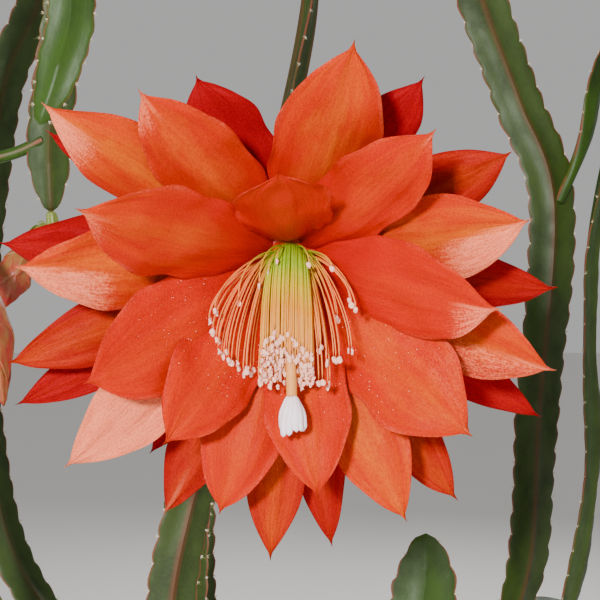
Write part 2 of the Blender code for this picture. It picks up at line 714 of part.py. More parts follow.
def build_tepals():
    red = make_material("outer_tepal_red", OUTER_RED)
    orange = make_material("inner_tepal_orange", INNER_ORANGE)
    seat = named_stem("stem_bearing_flower").seat(FLOWER_HEIGHT_ON_STEM, Vector((0, -1, 0)))
    outer = add_object("bloom_outer_tepals", tube_mesh(*seat), red)
    combine(outer, add_tepals(OUTER_TEPALS, OUTER_OUTLINE, OUTER_RINGS), "UNION", red)
    place_flower_part(outer)
    inner = add_object("bloom_inner_tepals", sleeve_mesh(), orange)
    blades = add_tepals(MIDDLE_TEPALS, INNER_OUTLINE, [MIDDLE_RING])
    blades += add_tepals(INNER_TEPALS, INNER_OUTLINE, [INNER_RING])
    combine(inner, blades, "UNION", orange)
    place_flower_part(inner)


# Stamens and style

def filament_mesh(start, end, rise):
    """One hanging filament with its anther, three-sided, from the ring to its end."""
    spread = end - start
    drop = flower_matrix().to_3x3().inverted() @ Vector((0, 0, -1))
    fall = spread.dot(drop)
    corners = [start, start + Vector((0, 0, rise)), end - drop * 0.5 * fall, end]
    bm = bmesh.new()
    stations = [(bezier(corners, share), FILAMENT_RADIUS) for share in FILAMENT_STEPS]
    tip = (corners[-1] - corners[-2]).normalized()
    stations.append((end + tip * 0.35 * ANTHER_LENGTH, ANTHER_RADIUS))
    stations.append((end + tip * ANTHER_LENGTH, 0.5 * ANTHER_RADIUS))
    bridge(bm, pipe_rings(bm, stations, FILAMENT_SIDES))
    return add_object("filament", bm)


def stamen_ring_mesh():
    """The ring that all filaments grow from, round the style and clear of the sleeve."""
    def bore(height):
        share = (height + CUP_DEPTH) / (CUP_DEPTH + SLEEVE_LIP)
        return blend(SLEEVE_FOOT_BORE_RADIUS, SLEEVE_BORE_RADIUS, share)

    hole = STYLE_RADIUS + 1.5 * GAP
    profile = [(hole, STAMEN_RING_LOW), (bore(STAMEN_RING_LOW) - 1.5 * GAP, STAMEN_RING_LOW),
               (bore(STAMEN_RING_HIGH) - 1.5 * GAP, STAMEN_RING_HIGH), (hole, STAMEN_RING_HIGH)]
    bm = bmesh.new()
    rings = [axis_ring(bm, height, radius, STAMEN_RING_SIDES) for radius, height in profile]
    bridge(bm, rings, is_loop=True)
    return bm


def build_stamens():
    """A fan that leaves the upper half of the throat and hangs in front of the style."""
    material = make_material("filament_peach", FILAMENT_PEACH)
    stamens = add_object("bloom_stamens", stamen_ring_mesh(), material)
    to_flower = flower_matrix().to_3x3().inverted()
    dice = random.Random(11)
    filaments = []
    for index in range(FILAMENTS):
        fan = 2 * (index + 0.5) / FILAMENTS - 1
        turn = radians(90 - FAN_SWEEP * fan)
        layer = (index * 2) % 5 / 4
        radius = blend(*FILAMENT_ROOT_RADII, layer)
        start = Vector((radius * cos(turn), radius * sin(turn),
                        STAMEN_RING_HIGH - FILAMENT_ROOT_SINK))
        drop = FAN_DROP - FAN_SIDE_LIFT * abs(fan) ** 2.2
        drop -= dice.uniform(0, FAN_RAGGED) * (1 - abs(fan))
        end = Vector((FAN_HALF_WIDTH * fan + FAN_MIDDLE, -blend(*FAN_FORWARD, layer), -drop))
        filaments.append(filament_mesh(start, to_flower @ end, blend(*FILAMENT_THROWS, layer)))
    combine(stamens, filaments, "UNION", material)
    place_flower_part(stamens)


def build_style():
    material = make_material("style_cream", STYLE_CREAM)
    route = Route(STYLE_ROUTE)
    stations = [(route.at(route.length * step / STYLE_STEPS), STYLE_RADIUS)
                for step in range(STYLE_STEPS + 1)]
    bm = bmesh.new()
    bridge(bm, pipe_rings(bm, stations, STYLE_SIDES))
    style = add_object("bloom_style", bm, material)
    base = Vector(STYLE_ROUTE[-1])
    span = Vector(STIGMA_END) - base
    stations = [(base + span * share, radius) for share, radius in STIGMA_OUTLINE]
    bm = bmesh.new()
    bridge(bm, pipe_rings(bm, stations, 2 * STIGMA_LOBES, flute=STIGMA_FLUTE))
    combine(style, [add_object("stigma", bm)], "UNION", material)
    place_flower_part(style)


def build_buds():
    material = make_material("bud_red", BUD_RED)
    for name, stem_name, height, leave_by, points in BUDS:
        stem = named_stem(stem_name)
        leave_by = Vector(leave_by)
        if leave_by.z < 0:
            spot = stem.route.at(stem.length).xyz
            outward = stem.route.direction(stem.length)
        else:
            spot, outward = stem.seat(height, leave_by)
        start = spot + outward * GAP
        route = Route([start, start + outward * BUD_STALK] + [Vector(point) for point in points])
        stations = [(route.at(route.length * share), radius) for share, radius in BUD_OUTLINE]
        bm = bmesh.new()
        bridge(bm, pipe_rings(bm, stations, BUD_SIDES, flute=BUD_FLUTE))
        add_object(name, bm, material)


clear_scene()
build_pot()
build_soil()
build_stems()
build_tepals()
build_stamens()
build_style()
build_buds()
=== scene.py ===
# Looks of a potted epiphyllum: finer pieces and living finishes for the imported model, with soft
# light and a camera. Tables and named sizes are in millimetres and degrees, and MM turns a length
# into metres.

import random
from math import cos, exp, hypot, pi, radians, sin, sqrt

import bmesh
import bpy
from bpy.props import FloatProperty, FloatVectorProperty, IntProperty, PointerProperty
from mathutils import Matrix, Vector, noise


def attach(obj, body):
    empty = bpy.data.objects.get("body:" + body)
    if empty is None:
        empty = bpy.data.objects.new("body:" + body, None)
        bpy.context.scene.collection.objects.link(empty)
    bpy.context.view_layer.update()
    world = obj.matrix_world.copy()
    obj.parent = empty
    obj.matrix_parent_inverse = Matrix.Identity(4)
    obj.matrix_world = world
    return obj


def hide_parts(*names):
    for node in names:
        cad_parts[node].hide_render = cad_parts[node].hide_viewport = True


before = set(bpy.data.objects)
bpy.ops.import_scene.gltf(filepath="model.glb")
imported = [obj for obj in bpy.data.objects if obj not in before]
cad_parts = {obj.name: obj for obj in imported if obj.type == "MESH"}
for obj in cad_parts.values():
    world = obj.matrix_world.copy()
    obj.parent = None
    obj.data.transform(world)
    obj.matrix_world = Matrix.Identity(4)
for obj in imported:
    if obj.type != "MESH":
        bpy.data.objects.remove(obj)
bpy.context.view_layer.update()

bl_info = {
    "name": "Potted Epiphyllum",
    "version": (1, 0, 0),
    "blender": (4, 5, 0),
    "location": "View3D > Sidebar > Epiphyllum",
    "description": "Builds the looks of a potted epiphyllum in flower",
    "category": "Add Mesh",
}

MM = 0.001
WELD = 1e-6

# Pot and soil, as in the solids
POT_HEIGHT = 146.0
POT_RIM_RADIUS = 86.0
POT_FOOT_RADIUS = 56.0
POT_WALL = 8.0
POT_FLOOR = 9.0
COLLAR_HEIGHT = 27.0
COLLAR_STEP = 6.0
DRAIN_HOLE_RADIUS = 6.0
DRAIN_CIRCLE_RADIUS = 30.0
DRAIN_HOLES = 3
SOIL_EDGE = 126.0
SOIL_CROWN = 3.0
GAP = 0.3

# Stems, as in the solids, but with the notches half as far apart
STEM_FOOT_RADIUS = 3.0
STEM_FOOT_LENGTH = 48.0
SHOOT_FOOT_RADIUS = 2.2
SHOOT_FOOT_LENGTH = 10.0
WINGS_OPEN_WITHIN = 55.0
WING_ROOT_HALF_THICKNESS = 1.25
WING_EDGE_HALF_THICKNESS = 0.5
RIB_HEIGHT = 1.3
RIB_SPREAD = 1.7
NOTCH_SHARE = 0.5
NOTCH_DEPTH = 0.12
CREST_PLACE = 0.72
TIP_TAPER = 26.0
# Bark is whole up to the second length, and has thinned out at the first.
BARK_LENGTH = 95.0
BARK_SOLID_LENGTH = 42.0
STEM_ROW = 1.7
STEM_AROUND = 24

# Flower, as in the solids
THROAT = Vector((-2.7, -163.5, 335.8))
FLOWER_NOD = 20.0
TUBE_SEAT = Vector((-10.4, -108.9, 361.6))
TUBE_LEAVES_BY = Vector((-0.27, -0.96, 0.06))
TUBE_SINK = 1.2
TUBE_OUTLINE = [(0.0, 2.2), (0.06, 2.8), (0.16, 4.2), (0.30, 5.0), (0.45, 4.6), (0.62, 4.6),
                (0.80, 5.2), (1.0, 6.2)]
TUBE_SCALES = 16
# Each scale of the tube or of a bud follows the one before by this share of a turn.
SCALE_TURN = 0.382
RECEPTACLE = [(-18.0, 7.4), (-12.0, 8.5), (-5.0, 9.6), (0.0, 10.0)]
THROAT_PROFILE = [(10.4, -2.0), (9.0, 0.9), (7.0, 1.7), (5.2, 1.3), (4.4, -2.0), (4.0, -14.0)]
STYLE_ROUTE = [(0, 0, -17.6), (0, 0, -6), (0, -0.8, 4), (0, -5, 15), (0.2, -13.8, 25),
               (0.5, -26, 31)]
STYLE_RADIUS = 1.25
STIGMA_END = Vector((1.0, -35.0, 35.0))
STIGMA_LOBES = 10
STYLE_INTO_STIGMA = 1.6
# The only tepal under this length is the hood over the throat. Its tip bows forward so far.
HOOD_UNDER = 57.0
HOOD_BOW = 2.0
# The curtain is the sheaf of stamens that hang in the middle, in layers from front to back.
CURTAIN_EDGES = (-7.6, 6.2)
CURTAIN_LAYERS = 6
CURTAIN_ROOT_RADIUS = 3.8
CURTAIN_FOOT = -34.5
LAYER_GAP_AT_ROOT = 0.65
LAYER_GAP_AT_END = 0.9
STAMEN_ROOT_HEIGHT = -3.0
# Threads are drawn a little thicker than real ones, which are too fine to show.
FILAMENT_RADIUS = 0.23
ANTHER_LENGTH = 1.8
ANTHER_RADIUS = 0.48
POLLEN_SPECKS = 280
POLLEN_RADIUS = 0.12

# Each stem: its name, half-width, notch spacing, age from 0 to 1, and its route of x, y, z, turn
STEMS = [
    ("stem_bearing_flower", 8.2, 17.0, 0.8, [
        (-30, 20, 100, 150), (-30, 20, 134, 150), (-42, 14, 205, 140), (-30, 6, 300, 115),
        (-9, 1, 380, 97), (3, -3, 438, 88), (6, -24, 488, 50), (6, -55, 507, 5),
        (5, -86, 486, -40), (4, -99, 440, -75), (2, -101, 408, -90), (-8, -101, 362, -106),
        (-22, -100, 312, -130), (-36, -100, 256, -158), (-41, -100, 228, -168),
        (-46, -100, 182, -175)]),
    ("stem_hanging_left", 7.8, 14.0, 0.15, [
        (-52, -8, 100, -60), (-52, -8, 134, -60), (-84, -10, 172, -55), (-117, -14, 222, -50),
        (-132, -22, 300, -42), (-134, -38, 385, -25), (-122, -62, 445, 15), (-100, -86, 470, 38),
        (-81, -98, 455, 25), (-72, -100, 420, 8), (-76, -100, 398, 0), (-82, -100, 380, 0)]),
    ("stem_arching_left", 8.5, 19.0, 0.6, [
        (-44, 34, 100, 60), (-44, 34, 134, 60), (-84, 42, 175, 45), (-119, 44, 225, 35),
        (-131, 42, 310, 25), (-121, 37, 405, 18), (-106, 30, 441, 18), (-93, 6, 472, 20),
        (-86, -16, 462, 22), (-85, -24, 435, 20), (-91, -24, 388, 10), (-91, -22, 357, 5)]),
    ("stem_right", 10.5, 19.0, 0.5, [
        (50, 4, 100, 60), (50, 4, 134, 60), (78, 2, 172, 60), (101, 0, 208, 60),
        (111, 0, 262, 62), (110, 0, 310, 65), (113, 2, 355, 70), (126, 6, 405, 85),
        (148, 14, 440, 100), (180, 24, 436, 105), (203, 30, 400, 105), (212, 33, 362, 105)]),
    ("stem_short", 13.0, 18.0, 0.3, [
        (28, -24, 100, 10), (28, -24, 134, 10), (38, -18, 175, 5), (46, -12, 215, 0),
        (47, -10, 238, 0)]),
    ("stem_forked", 10.0, 19.0, 0.7, [
        (40, 24, 100, 70), (40, 24, 134, 60), (66, 24, 168, 45), (88, 22, 215, 30),
        (93, 20, 280, 20), (99, 20, 362, 10), (86, 20, 402, 5), (74, 18, 434, 0),
        (60, 12, 474, -5), (50, 8, 500, -5)]),
    ("stem_back", 11.0, 19.0, 0.45, [
        (-22, 46, 100, 20), (-22, 46, 134, 20), (-40, 52, 180, 15), (-46, 56, 215, 10),
        (-44, 68, 285, 0), (-38, 92, 345, -5), (-28, 124, 362, -8), (-20, 156, 338, -10),
        (-16, 172, 300, -10)]),
    ("stem_low_left", 9.5, 18.0, 0.35, [
        (-60, 14, 100, 80), (-60, 14, 134, 80), (-92, 14, 168, 85), (-130, 10, 200, 90),
        (-170, 2, 228, 95), (-204, -8, 228, 98), (-230, -16, 205, 100), (-243, -20, 176, 100)]),
    ("stem_back_right", 9.5, 19.0, 0.55, [
        (14, 48, 100, 160), (14, 48, 134, 155), (42, 62, 166, 150), (76, 84, 186, 148),
        (110, 108, 189, 146), (140, 130, 172, 145), (158, 144, 140, 145)]),
    ("stem_low_right", 9.0, 17.0, 0.1, [
        (44, -42, 100, 45), (44, -42, 134, 45), (74, -64, 166, 48), (106, -90, 186, 51),
        (134, -112, 182, 52), (150, -124, 160, 52)]),
]

# Side shoots: the stem each one grows from, then the same columns as above
SHOOTS = [
    ("stem_forked", 8.0, 16.0, 0.2, [
        (101, 20, 362, 40), (112, 22, 388, 45), (120, 30, 418, 60), (136, 46, 442, 75),
        (160, 58, 440, 80), (174, 64, 415, 80)]),
    ("stem_arching_left", 6.5, 15.0, 0.15, [
        (-92, -24, 384, 90), (-106, -23, 378, 90), (-124, -22, 376, 90), (-146, -20, 386, 90),
        (-162, -18, 408, 90)]),
]

# Tepals, as in the solids: clock angle, length, width, lean and roll
INNER_TEPALS = [
    (94, 55, 25, 42, 1), (52, 68, 22, 57, -6), (0, 66, 26, 52, 5), (323, 70, 29, 57, -5),
    (278, 66, 23, 54, -1), (230, 62, 25, 55, -5), (203, 67, 29, 58, -6), (152, 72, 25, 53, 7),
]
MIDDLE_TEPALS = [
    (76, 72, 27, 68, 7), (125, 70, 23, 67, 1), (141, 83, 21, 71, 0), (174, 76, 24, 68, 2),
    (219, 83, 22, 69, 2), (253, 72, 23, 66, 4), (296, 78, 21, 67, 0), (343, 78, 22, 68, 5),
    (18, 70, 24, 66, 1),
]
OUTER_TEPALS = [
    (115, 58, 22, 84, 0), (56, 63, 16, 84, 1), (30, 68, 19, 80, -1), (356, 73, 18, 82, 7),
    (327, 85, 15, 88, -4), (305, 83, 18, 80, 6), (278, 86, 15, 84, 4), (266, 86, 18, 78, 6),
    (244, 83, 18, 84, -3), (235, 71, 12, 88, 7), (208, 88, 15, 86, 6), (198, 82, 18, 80, 5),
    (175, 79, 19, 85, 2), (149, 75, 13, 83, -2),
]

# Looks of the same tepals: orange share, amount of painted sheen (a pale reflection of the light),
# where along the blade the painted sheen starts, the column where it starts (towards that margin,
# on the half that faces the light, anticlockwise if negative, 0 for the whole width), how far the
# rims fold back, and bluntness
INNER_LOOKS = [
    (0.15, 0.00, 0.90, 0, 0.0, 5.0), (0.30, 0.30, 0.92, 0.2, 0.0, 3.0),
    (0.15, 0.75, 0.84, 0.05, 0.0, 2.8), (0.70, 0.14, 0.62, -0.3, 0.0, 3.0),
    (0.45, 0.00, 0.60, 0, 0.0, 2.7), (0.25, 0.00, 0.50, 0, 0.0, 2.8),
    (0.20, 0.00, 0.50, 0, 0.0, 3.2), (0.50, 0.40, 0.88, -0.2, 0.0, 2.8),
]
MIDDLE_LOOKS = [
    (0.80, 0.00, 0.85, 0, 0.3, 2.9), (0.60, 0.60, 0.88, -0.25, 0.3, 3.0),
    (1.00, 1.00, 0.82, -0.05, 0.6, 2.7), (0.90, 0.88, 0.69, -0.08, 0.4, 2.6),
    (0.50, 1.00, 0.12, 0, 0.0, 2.8), (0.35, 0.00, 0.60, 0, 0.0, 3.0),
    (0.90, 0.12, 0.75, 0.6, 0.0, 3.0), (0.75, 0.36, 0.50, 0.06, 0.4, 2.8),
    (1.00, 0.88, 0.66, 0.1, 0.2, 3.0),
]
OUTER_LOOKS = [
    (0.00, 0.00, 0.80, 0, 1.2, 3.2), (0.00, 0.00, 0.80, 0, 2.2, 3.0),
    (0.70, 0.10, 0.85, -0.6, 0.6, 2.6), (0.20, 0.00, 0.60, 0, 0.8, 2.3),
    (0.05, 0.00, 0.80, 0, 1.2, 2.2), (0.85, 0.00, 0.80, 0, 0.4, 2.4),
    (0.35, 0.00, 0.80, 0, 0.4, 2.2), (1.00, 0.00, 0.80, 0, 0.0, 2.2),
    (0.55, 0.05, 0.70, 0, 0.8, 2.4), (0.05, 0.00, 0.80, 0, 0.8, 2.2),
    (0.10, 0.00, 0.80, 0, 0.8, 2.2), (0.85, 0.00, 0.60, 0, 0.4, 2.4),
    (0.05, 0.00, 0.70, 0, 2.6, 2.4), (0.00, 0.00, 0.80, 0, 0.8, 2.2),
]

# Ends of the spread stamens, in x and z from the throat: a fan to either side, roughly from the
# outermost inwards, and the short ones above it
LEFT_STAMENS = [(-21, -15), (-19, -13.5), (-20, -19), (-19, -20.5), (-18.5, -23.5), (-17, -25),
                (-15, -26.5), (-13.5, -28), (-12, -29.5), (-11, -28), (-9.5, -28.5), (-8, -30.5)]
RIGHT_STAMENS = [(17, -12), (16, -11.5), (12.5, -15.5), (16, -23.5), (13, -25.5), (12, -26),
                 (9.5, -27), (10.5, -32), (8.5, -31.5), (7.5, -23.5)]
SHORT_STAMENS = [(-3.5, 0), (-5.5, -3), (-8, -6.5), (-13.5, -11), (5, -1), (11, -2)]

# Stage, in metres, but the lens in millimetres. Each light has its place, its size and the name of
# the setting that holds its power.
LIGHTS = [("key", (-0.31, -1.25, 0.54), 0.13, "key_power"),
          ("fill", (0.95, -0.85, 0.45), 0.8, "fill_power"),
          ("back", (0.3, 1.1, 1.05), 0.8, "back_power")]
LIGHTS_AIM = Vector((0, -0.1, 0.3))
SURROUNDINGS_STRENGTH = 0.6
FLOOR_RADIUS = 9.0
CAMERA_HEIGHT = 0.325
CAMERA_LENS = 92.2

# Buds: name, seat, the way it leaves by, and its route from there
BUDS = [
    ("bud_front_left", (-128.3, -33.3, 342.0), (0.82, -0.57, -0.08), [
        (-112, -58, 338), (-103, -74, 318), (-97, -80, 290)]),
    ("bud_behind_left", (-91.0, -22.0, 357.0), (0.01, 0.07, -1.0), [
        (-96, -23, 348), (-103, -24, 337), (-108, -25, 322)]),
]
BUD_SCALES = 17
BUD_OUTLINE = [(0.0, 1.6), (0.10, 2.2), (0.22, 3.2), (0.34, 2.7), (0.46, 3.0), (0.60, 4.8),
               (0.74, 5.6), (0.88, 3.8), (0.97, 1.4), (1.0, 0.4)]


def linear(code):
    """Linear red, green and blue of an sRGB hex colour."""
    values = [int(code[index:index + 2], 16) / 255 for index in (1, 3, 5)]
    return tuple(value / 12.92 if value <= 0.04045 else ((value + 0.055) / 1.055) ** 2.4
                 for value in values)


def colour(name, code, description):
    return FloatVectorProperty(name=name, description=description, size=3, subtype="COLOR",
                               min=0.0, max=1.0, default=linear(code))


def length(name, millimetres, description):
    return FloatProperty(name=name, description=description, default=millimetres * MM,
                         min=0.0, subtype="DISTANCE", unit="LENGTH")


class EPI_PG_bloom(bpy.types.PropertyGroup):
    """Colours and sizes of the open flower and the buds"""

    outer_red: colour("Outer red", "#A10112", "Skin of the narrow outer tepals")
    inner_red: colour("Inner red", "#BF1D02", "Body of the broad inner tepals")
    glow: colour("Orange glow", "#CF5A05", "Middle band of the orange tepals")
    # Painted sheen: a silvery pink reflection of the light near the tepals' tips, drawn in their
    # colour.
    painted_sheen: colour("Pale sheen", "#F88660", "Silvery pink skin near the tepals' tips")
    throat_green: colour("Throat green", "#93B80C", "Inside of the throat and feet of the stamens")
    filament_yellow: colour("Filament yellow", "#C9AB0A", "Stamens where they leave the throat")
    filament_tan: colour("Filament tan", "#D98C0C", "Stamens over most of their length")
    pollen: colour("Pollen", "#FFBEAA", "Anthers and loose pollen")
    stigma: colour("Stigma", "#FAE8F0", "Lobes of the stigma")
    tube_green: colour("Tube green", "#7C8A3C", "Foot of the floral tube and of the buds")
    tepal_thickness: length("Tepal thickness", 0.8, "Thickness along a tepal's middle")
    curtain: IntProperty(name="Curtain", description="Number of stamens that hang in the middle",
                         default=288, min=12, max=400)


class EPI_PG_stems(bpy.types.PropertyGroup):
    """Colours of the stems and size of their bristles"""

    young_green: colour("Young green", "#304E0D", "Skin of new growth")
    old_green: colour("Old green", "#323A12", "Skin of older stems")
    midrib: colour("Midrib brown", "#5A3018", "Reddish brown band along older midribs")
    margin: colour("Margin red", "#8A4436", "Thin line along sunlit edges")
    bark: colour("Bark", "#8B7355", "Corky skin of the woody feet")
    wool: colour("Wool", "#EDE8D8", "Woolly tufts in the notches")
    bristle: colour("Bristle", "#D9BC84", "Fine bristles in the notches")
    bristle_length: length("Bristle length", 2.6, "Longest bristle in a notch")


class EPI_PG_pot(bpy.types.PropertyGroup):
    """Colours of the pot and its filling"""

    clay: colour("Clay", "#B8633C", "Fired earthenware")
    lime: colour("Lime bloom", "#DBC7B2", "Dry salts that water leaves on the clay")
    soil: colour("Soil", "#3A2A1D", "Damp potting mix")
    chip: colour("Bark chips", "#6B4A30", "Composted bark in the mix")
    perlite: colour("Perlite", "#EDEBE3", "White grains in the mix")
    bark_chips: IntProperty(name="Bark chips", description="Number of bark chips on the soil",
                            default=520, min=0, max=2000)
    perlite_grains: IntProperty(name="Perlite grains", description="Number of white grains",
                                default=170, min=0, max=2000)


class EPI_PG_stage(bpy.types.PropertyGroup):
    """Floor, light and camera"""

    floor: colour("Floor", "#E4E2DE", "Plain floor")
    sky: colour("Surroundings", "#DEDEDD", "Plain light from all round")
    key_power: FloatProperty(name="Key light", description="Power of the main soft light",
                             default=24.0, min=0.0, unit="POWER")
    fill_power: FloatProperty(name="Fill light", description="Power of the light on the right",
                              default=2.5, min=0.0, unit="POWER")
    back_power: FloatProperty(name="Back light", description="Power of the light from behind",
                              default=10.0, min=0.0, unit="POWER")
    distance: length("Camera distance", 420.0, "From the camera to the flower's throat")


MIX_FACTOR, MIX_A, MIX_B, MIX_RESULT = 0, 6, 7, 2


class Finish:
    """A named Principled material and the tree that colours it."""

    def __init__(self, name, **sockets):
        self.material = bpy.data.materials.new(name)
        self.material.use_nodes = True
        self.tree = self.material.node_tree
        self.shader = self.tree.nodes["Principled BSDF"]
        for socket, value in sockets.items():
            self.shader.inputs[socket.replace("_", " ")].default_value = value

    def add(self, kind, inputs, **settings):
        """Add a shader node, set it up, and give each input its value or the socket that feeds
        it."""
        made = self.tree.nodes.new("ShaderNode" + kind)
        for name, value in settings.items():
            setattr(made, name, value)
        for name, value in inputs.items():
            if isinstance(value, bpy.types.NodeSocket):
                self.tree.links.new(value, made.inputs[name])
            else:
                made.inputs[name].default_value = value
        return made

    def mark(self, name):
        """A value that each point of the mesh carries."""
        return self.add("Attribute", {}, attribute_name=name).outputs["Fac"]

    def unsigned(self, name):
        """The size of such a value, whichever its sign."""
        return self.add("Math", {0: self.mark(name)}, operation="ABSOLUTE").outputs["Value"]

    def ramp(self, value, *stops):
        """A colour for a value from 0 to 1, by stops of place and colour."""
        made = self.add("ValToRGB", {"Fac": value})
        elements = made.color_ramp.elements
        elements.remove(elements[1])
        elements[0].position = stops[0][0]
        elements[0].color = (*stops[0][1], 1.0)
        for place, tint in stops[1:]:
            elements.new(place).color = (*tint, 1.0)
        return made.outputs["Color"]

    def blend(self, factor, first, second, blend_type="MIX"):
        """Mix two colours, each given as a socket or as red, green and blue."""
        first, second = [value if isinstance(value, bpy.types.NodeSocket) else (*value, 1.0)
                         for value in (first, second)]
        return self.add("Mix", {MIX_FACTOR: factor, MIX_A: first, MIX_B: second},
                        data_type="RGBA", blend_type=blend_type).outputs[MIX_RESULT]

    def between(self, value, low, high, start=0.0, end=1.0):
        """Rise smoothly from start to end as the value goes from low to high."""
        return self.add("MapRange", {"Value": value, "From Min": low, "From Max": high,
                                     "To Min": start, "To Max": end},
                        interpolation_type="SMOOTHSTEP").outputs["Result"]

    def times(self, first, second, operation="MULTIPLY"):
        return self.add("Math", {0: first, 1: second}, operation=operation).outputs["Value"]

    def speckle(self, vector, size, detail=3.0, roughness=0.55):
        """Cloudy noise whose patches are about one size across, in the vector's own unit."""
        return self.add("TexNoise", {"Vector": vector, "Scale": 1.0 / size, "Detail": detail,
                                     "Roughness": roughness}).outputs["Fac"]

    def skin_map(self, lengthwise, aside=None):
        """Place on a blade or stem in millimetres, shortened lengthwise to draw out its grain."""
        along = self.times(self.mark("along_mm"), lengthwise)
        return self.add("CombineXYZ", {"X": aside or self.mark("across_mm"), "Y": along,
                                       "Z": self.times(self.mark("tone"), 37.0)}).outputs[0]

    def in_mm(self):
        """Place on the whole object, in millimetres."""
        place = self.add("TexCoord", {}).outputs["Object"]
        return self.add("VectorMath", {0: place, "Scale": 1.0 / MM}, operation="SCALE").outputs[0]

    def finish(self, base, roughness=None, height=None, depth=0.1, strength=0.6):
        """Connect the colour, the roughness and a relief of so many millimetres."""
        self.tree.links.new(base, self.shader.inputs["Base Color"])
        if roughness:
            self.tree.links.new(roughness, self.shader.inputs["Roughness"])
        if height:
            bump = self.add("Bump", {"Height": height, "Distance": depth * MM,
                                     "Strength": strength})
            self.tree.links.new(bump.outputs["Normal"], self.shader.inputs["Normal"])
        return self.material


# Living finishes

def tepal_skin(name, foot, body, glow, painted_sheen, gloss, painted_rim_sheen):
    """Petal tissue: thin, juicy and satin, with fine veins from foot to tip, and painted sheen
    near the tip and along the margins, where it stands for a pale reflection of the light."""
    skin = Finish(name, Roughness=0.42, IOR=1.36, Specular_IOR_Level=gloss,
                  Subsurface_Weight=0.12, Subsurface_Scale=0.0015)
    skin.shader.inputs["Subsurface Radius"].default_value = (1.0, 0.1, 0.02)
    rise = skin.mark("rise")
    tone = skin.mark("tone")
    reach = skin.unsigned("reach")
    across = skin.unsigned("across_mm")
    # Folds and veins run side by side from foot to tip, about 11 mm from midrib to margin.
    aside = skin.times(skin.mark("reach"), 11.0)
    folds = skin.speckle(skin.skin_map(0.06, aside), 2.4, detail=2.0)
    veins = skin.speckle(skin.skin_map(0.12, aside), 0.6, detail=3.0)
    clouds = skin.speckle(skin.skin_map(0.6), 6.0, detail=3.0)
    # Skin cells are too fine to show, so they are drawn coarser, at half a millimetre.
    cells = skin.speckle(skin.skin_map(0.8), 0.5, detail=2.0, roughness=0.65)
    # The middle band widens from the foot and dies out into clouds towards the margins.
    width = skin.times(skin.between(clouds, 0.25, 0.75, -0.25, 0.25), reach, "ADD")
    band = skin.times(skin.between(width, 0.8, 0.0), skin.between(rise, 0.2, 0.55))
    wash = skin.times(skin.between(rise, 0.3, 0.9, 0.0, 0.6), skin.between(
        folds, 0.3, 0.7, 0.5, 1.0))
    orange = skin.times(skin.times(band, wash, "MAXIMUM"), tone)
    base = skin.blend(skin.between(rise, 0.05, 0.6), foot, body)
    base = skin.blend(orange, base, glow)
    base = skin.blend(skin.between(folds, 0.35, 0.65, 0.35, 0.0), base, foot)
    base = skin.blend(skin.between(reach, 0.86, 1.0, 0.0, 0.45), base, foot)
    # Veins and cells break the edge of the painted sheen into grains.
    reflection_grain = skin.between(skin.times(cells, veins, "ADD"), 0.7, 1.3, -0.2, 0.2)
    pale = skin.mark("pale")
    cover = skin.between(skin.times(pale, reflection_grain, "ADD"), 0.0, 1.0, 0.0, 0.94)
    cover = skin.times(cover, skin.between(pale, 0.0, 0.3))
    # Painted highlight: a pale line along the midrib near the tip, where the folded blade catches
    # the light.
    crease = skin.times(skin.between(across, 0.9, 0.1, 0.0, 0.7), skin.between(rise, 0.74, 0.92))
    crease = skin.times(crease, skin.between(pale, 0.0, 0.1))
    # Painted sheen along the margins from a third of the way out, broken up by cells and clouds.
    rim = skin.times(skin.between(reach, 0.86, 0.98), skin.between(rise, 0.35, 0.7, 0.0, painted_rim_sheen))
    rim = skin.times(rim, skin.between(skin.times(cells, clouds, "ADD"), 0.8, 1.3))
    # The painted sheen, the painted highlight and the painted rim sheen all take the pale colour
    # here.
    cover = skin.times(skin.times(cover, crease, "MAXIMUM"), rim, "MAXIMUM")
    base = skin.blend(cover, base, painted_sheen)
    base = skin.blend(skin.between(cells, 0.32, 0.6, 0.3, 0.0), base, foot, "MULTIPLY")
    base = skin.blend(skin.between(veins, 0.3, 0.6, 0.25, 0.0), base, foot)
    rough = skin.between(cells, 0.3, 0.7, 0.5, 0.3)
    relief = skin.times(skin.times(folds, 1.8), skin.times(
        skin.times(veins, 0.5), skin.times(cells, 0.6), "ADD"), "ADD")
    return skin.finish(base, rough, relief, depth=0.26, strength=0.9)


def stem_skin():
    """Waxy green stem tissue over a woody core: satin and faintly mottled, reddish along old
    midribs and sunlit edges, corky and dull at the foot."""
    stems = bpy.context.scene.epi_stems
    skin = Finish("waxy_stem_skin", Roughness=0.5, IOR=1.45, Specular_IOR_Level=0.35,
                  Subsurface_Weight=0.08, Subsurface_Scale=0.002)
    tone = skin.mark("tone")
    reach = skin.unsigned("reach")
    across = skin.unsigned("across_mm")
    clouds = skin.speckle(skin.skin_map(0.6), 9.0, detail=3.0)
    mottle = skin.speckle(skin.skin_map(1.0), 1.1, detail=3.0)
    # Pores are too fine to show, so they are drawn coarser.
    pores = skin.speckle(skin.skin_map(1.0), 0.35, detail=1.0)
    base = skin.blend(tone, stems.young_green, stems.old_green)
    base = skin.blend(skin.between(clouds, 0.35, 0.7, 0.0, 0.45), base, stems.old_green,
                      "MULTIPLY")
    base = skin.blend(skin.between(mottle, 0.4, 0.7, 0.0, 0.3), base, stems.young_green)
    band = skin.times(skin.between(across, 1.8, 0.4), skin.between(tone, 0.4, 0.9, 0.0, 0.8))
    base = skin.blend(band, base, stems.midrib)
    line = skin.times(skin.between(reach, 0.9, 0.99), skin.between(clouds, 0.3, 0.6, 0.1, 0.7))
    base = skin.blend(line, base, stems.margin)
    bark = skin.between(skin.mark("along_mm"), BARK_LENGTH, BARK_SOLID_LENGTH)
    cork = skin.times(bark, skin.between(mottle, 0.25, 0.5, 0.75, 1.0))
    base = skin.blend(cork, base, stems.bark)
    rough = skin.between(clouds, 0.3, 0.7, 0.44, 0.6)
    relief = skin.times(skin.times(mottle, 0.6), skin.times(pores, 0.4), "ADD")
    return skin.finish(base, rough, relief, depth=0.16, strength=0.6)


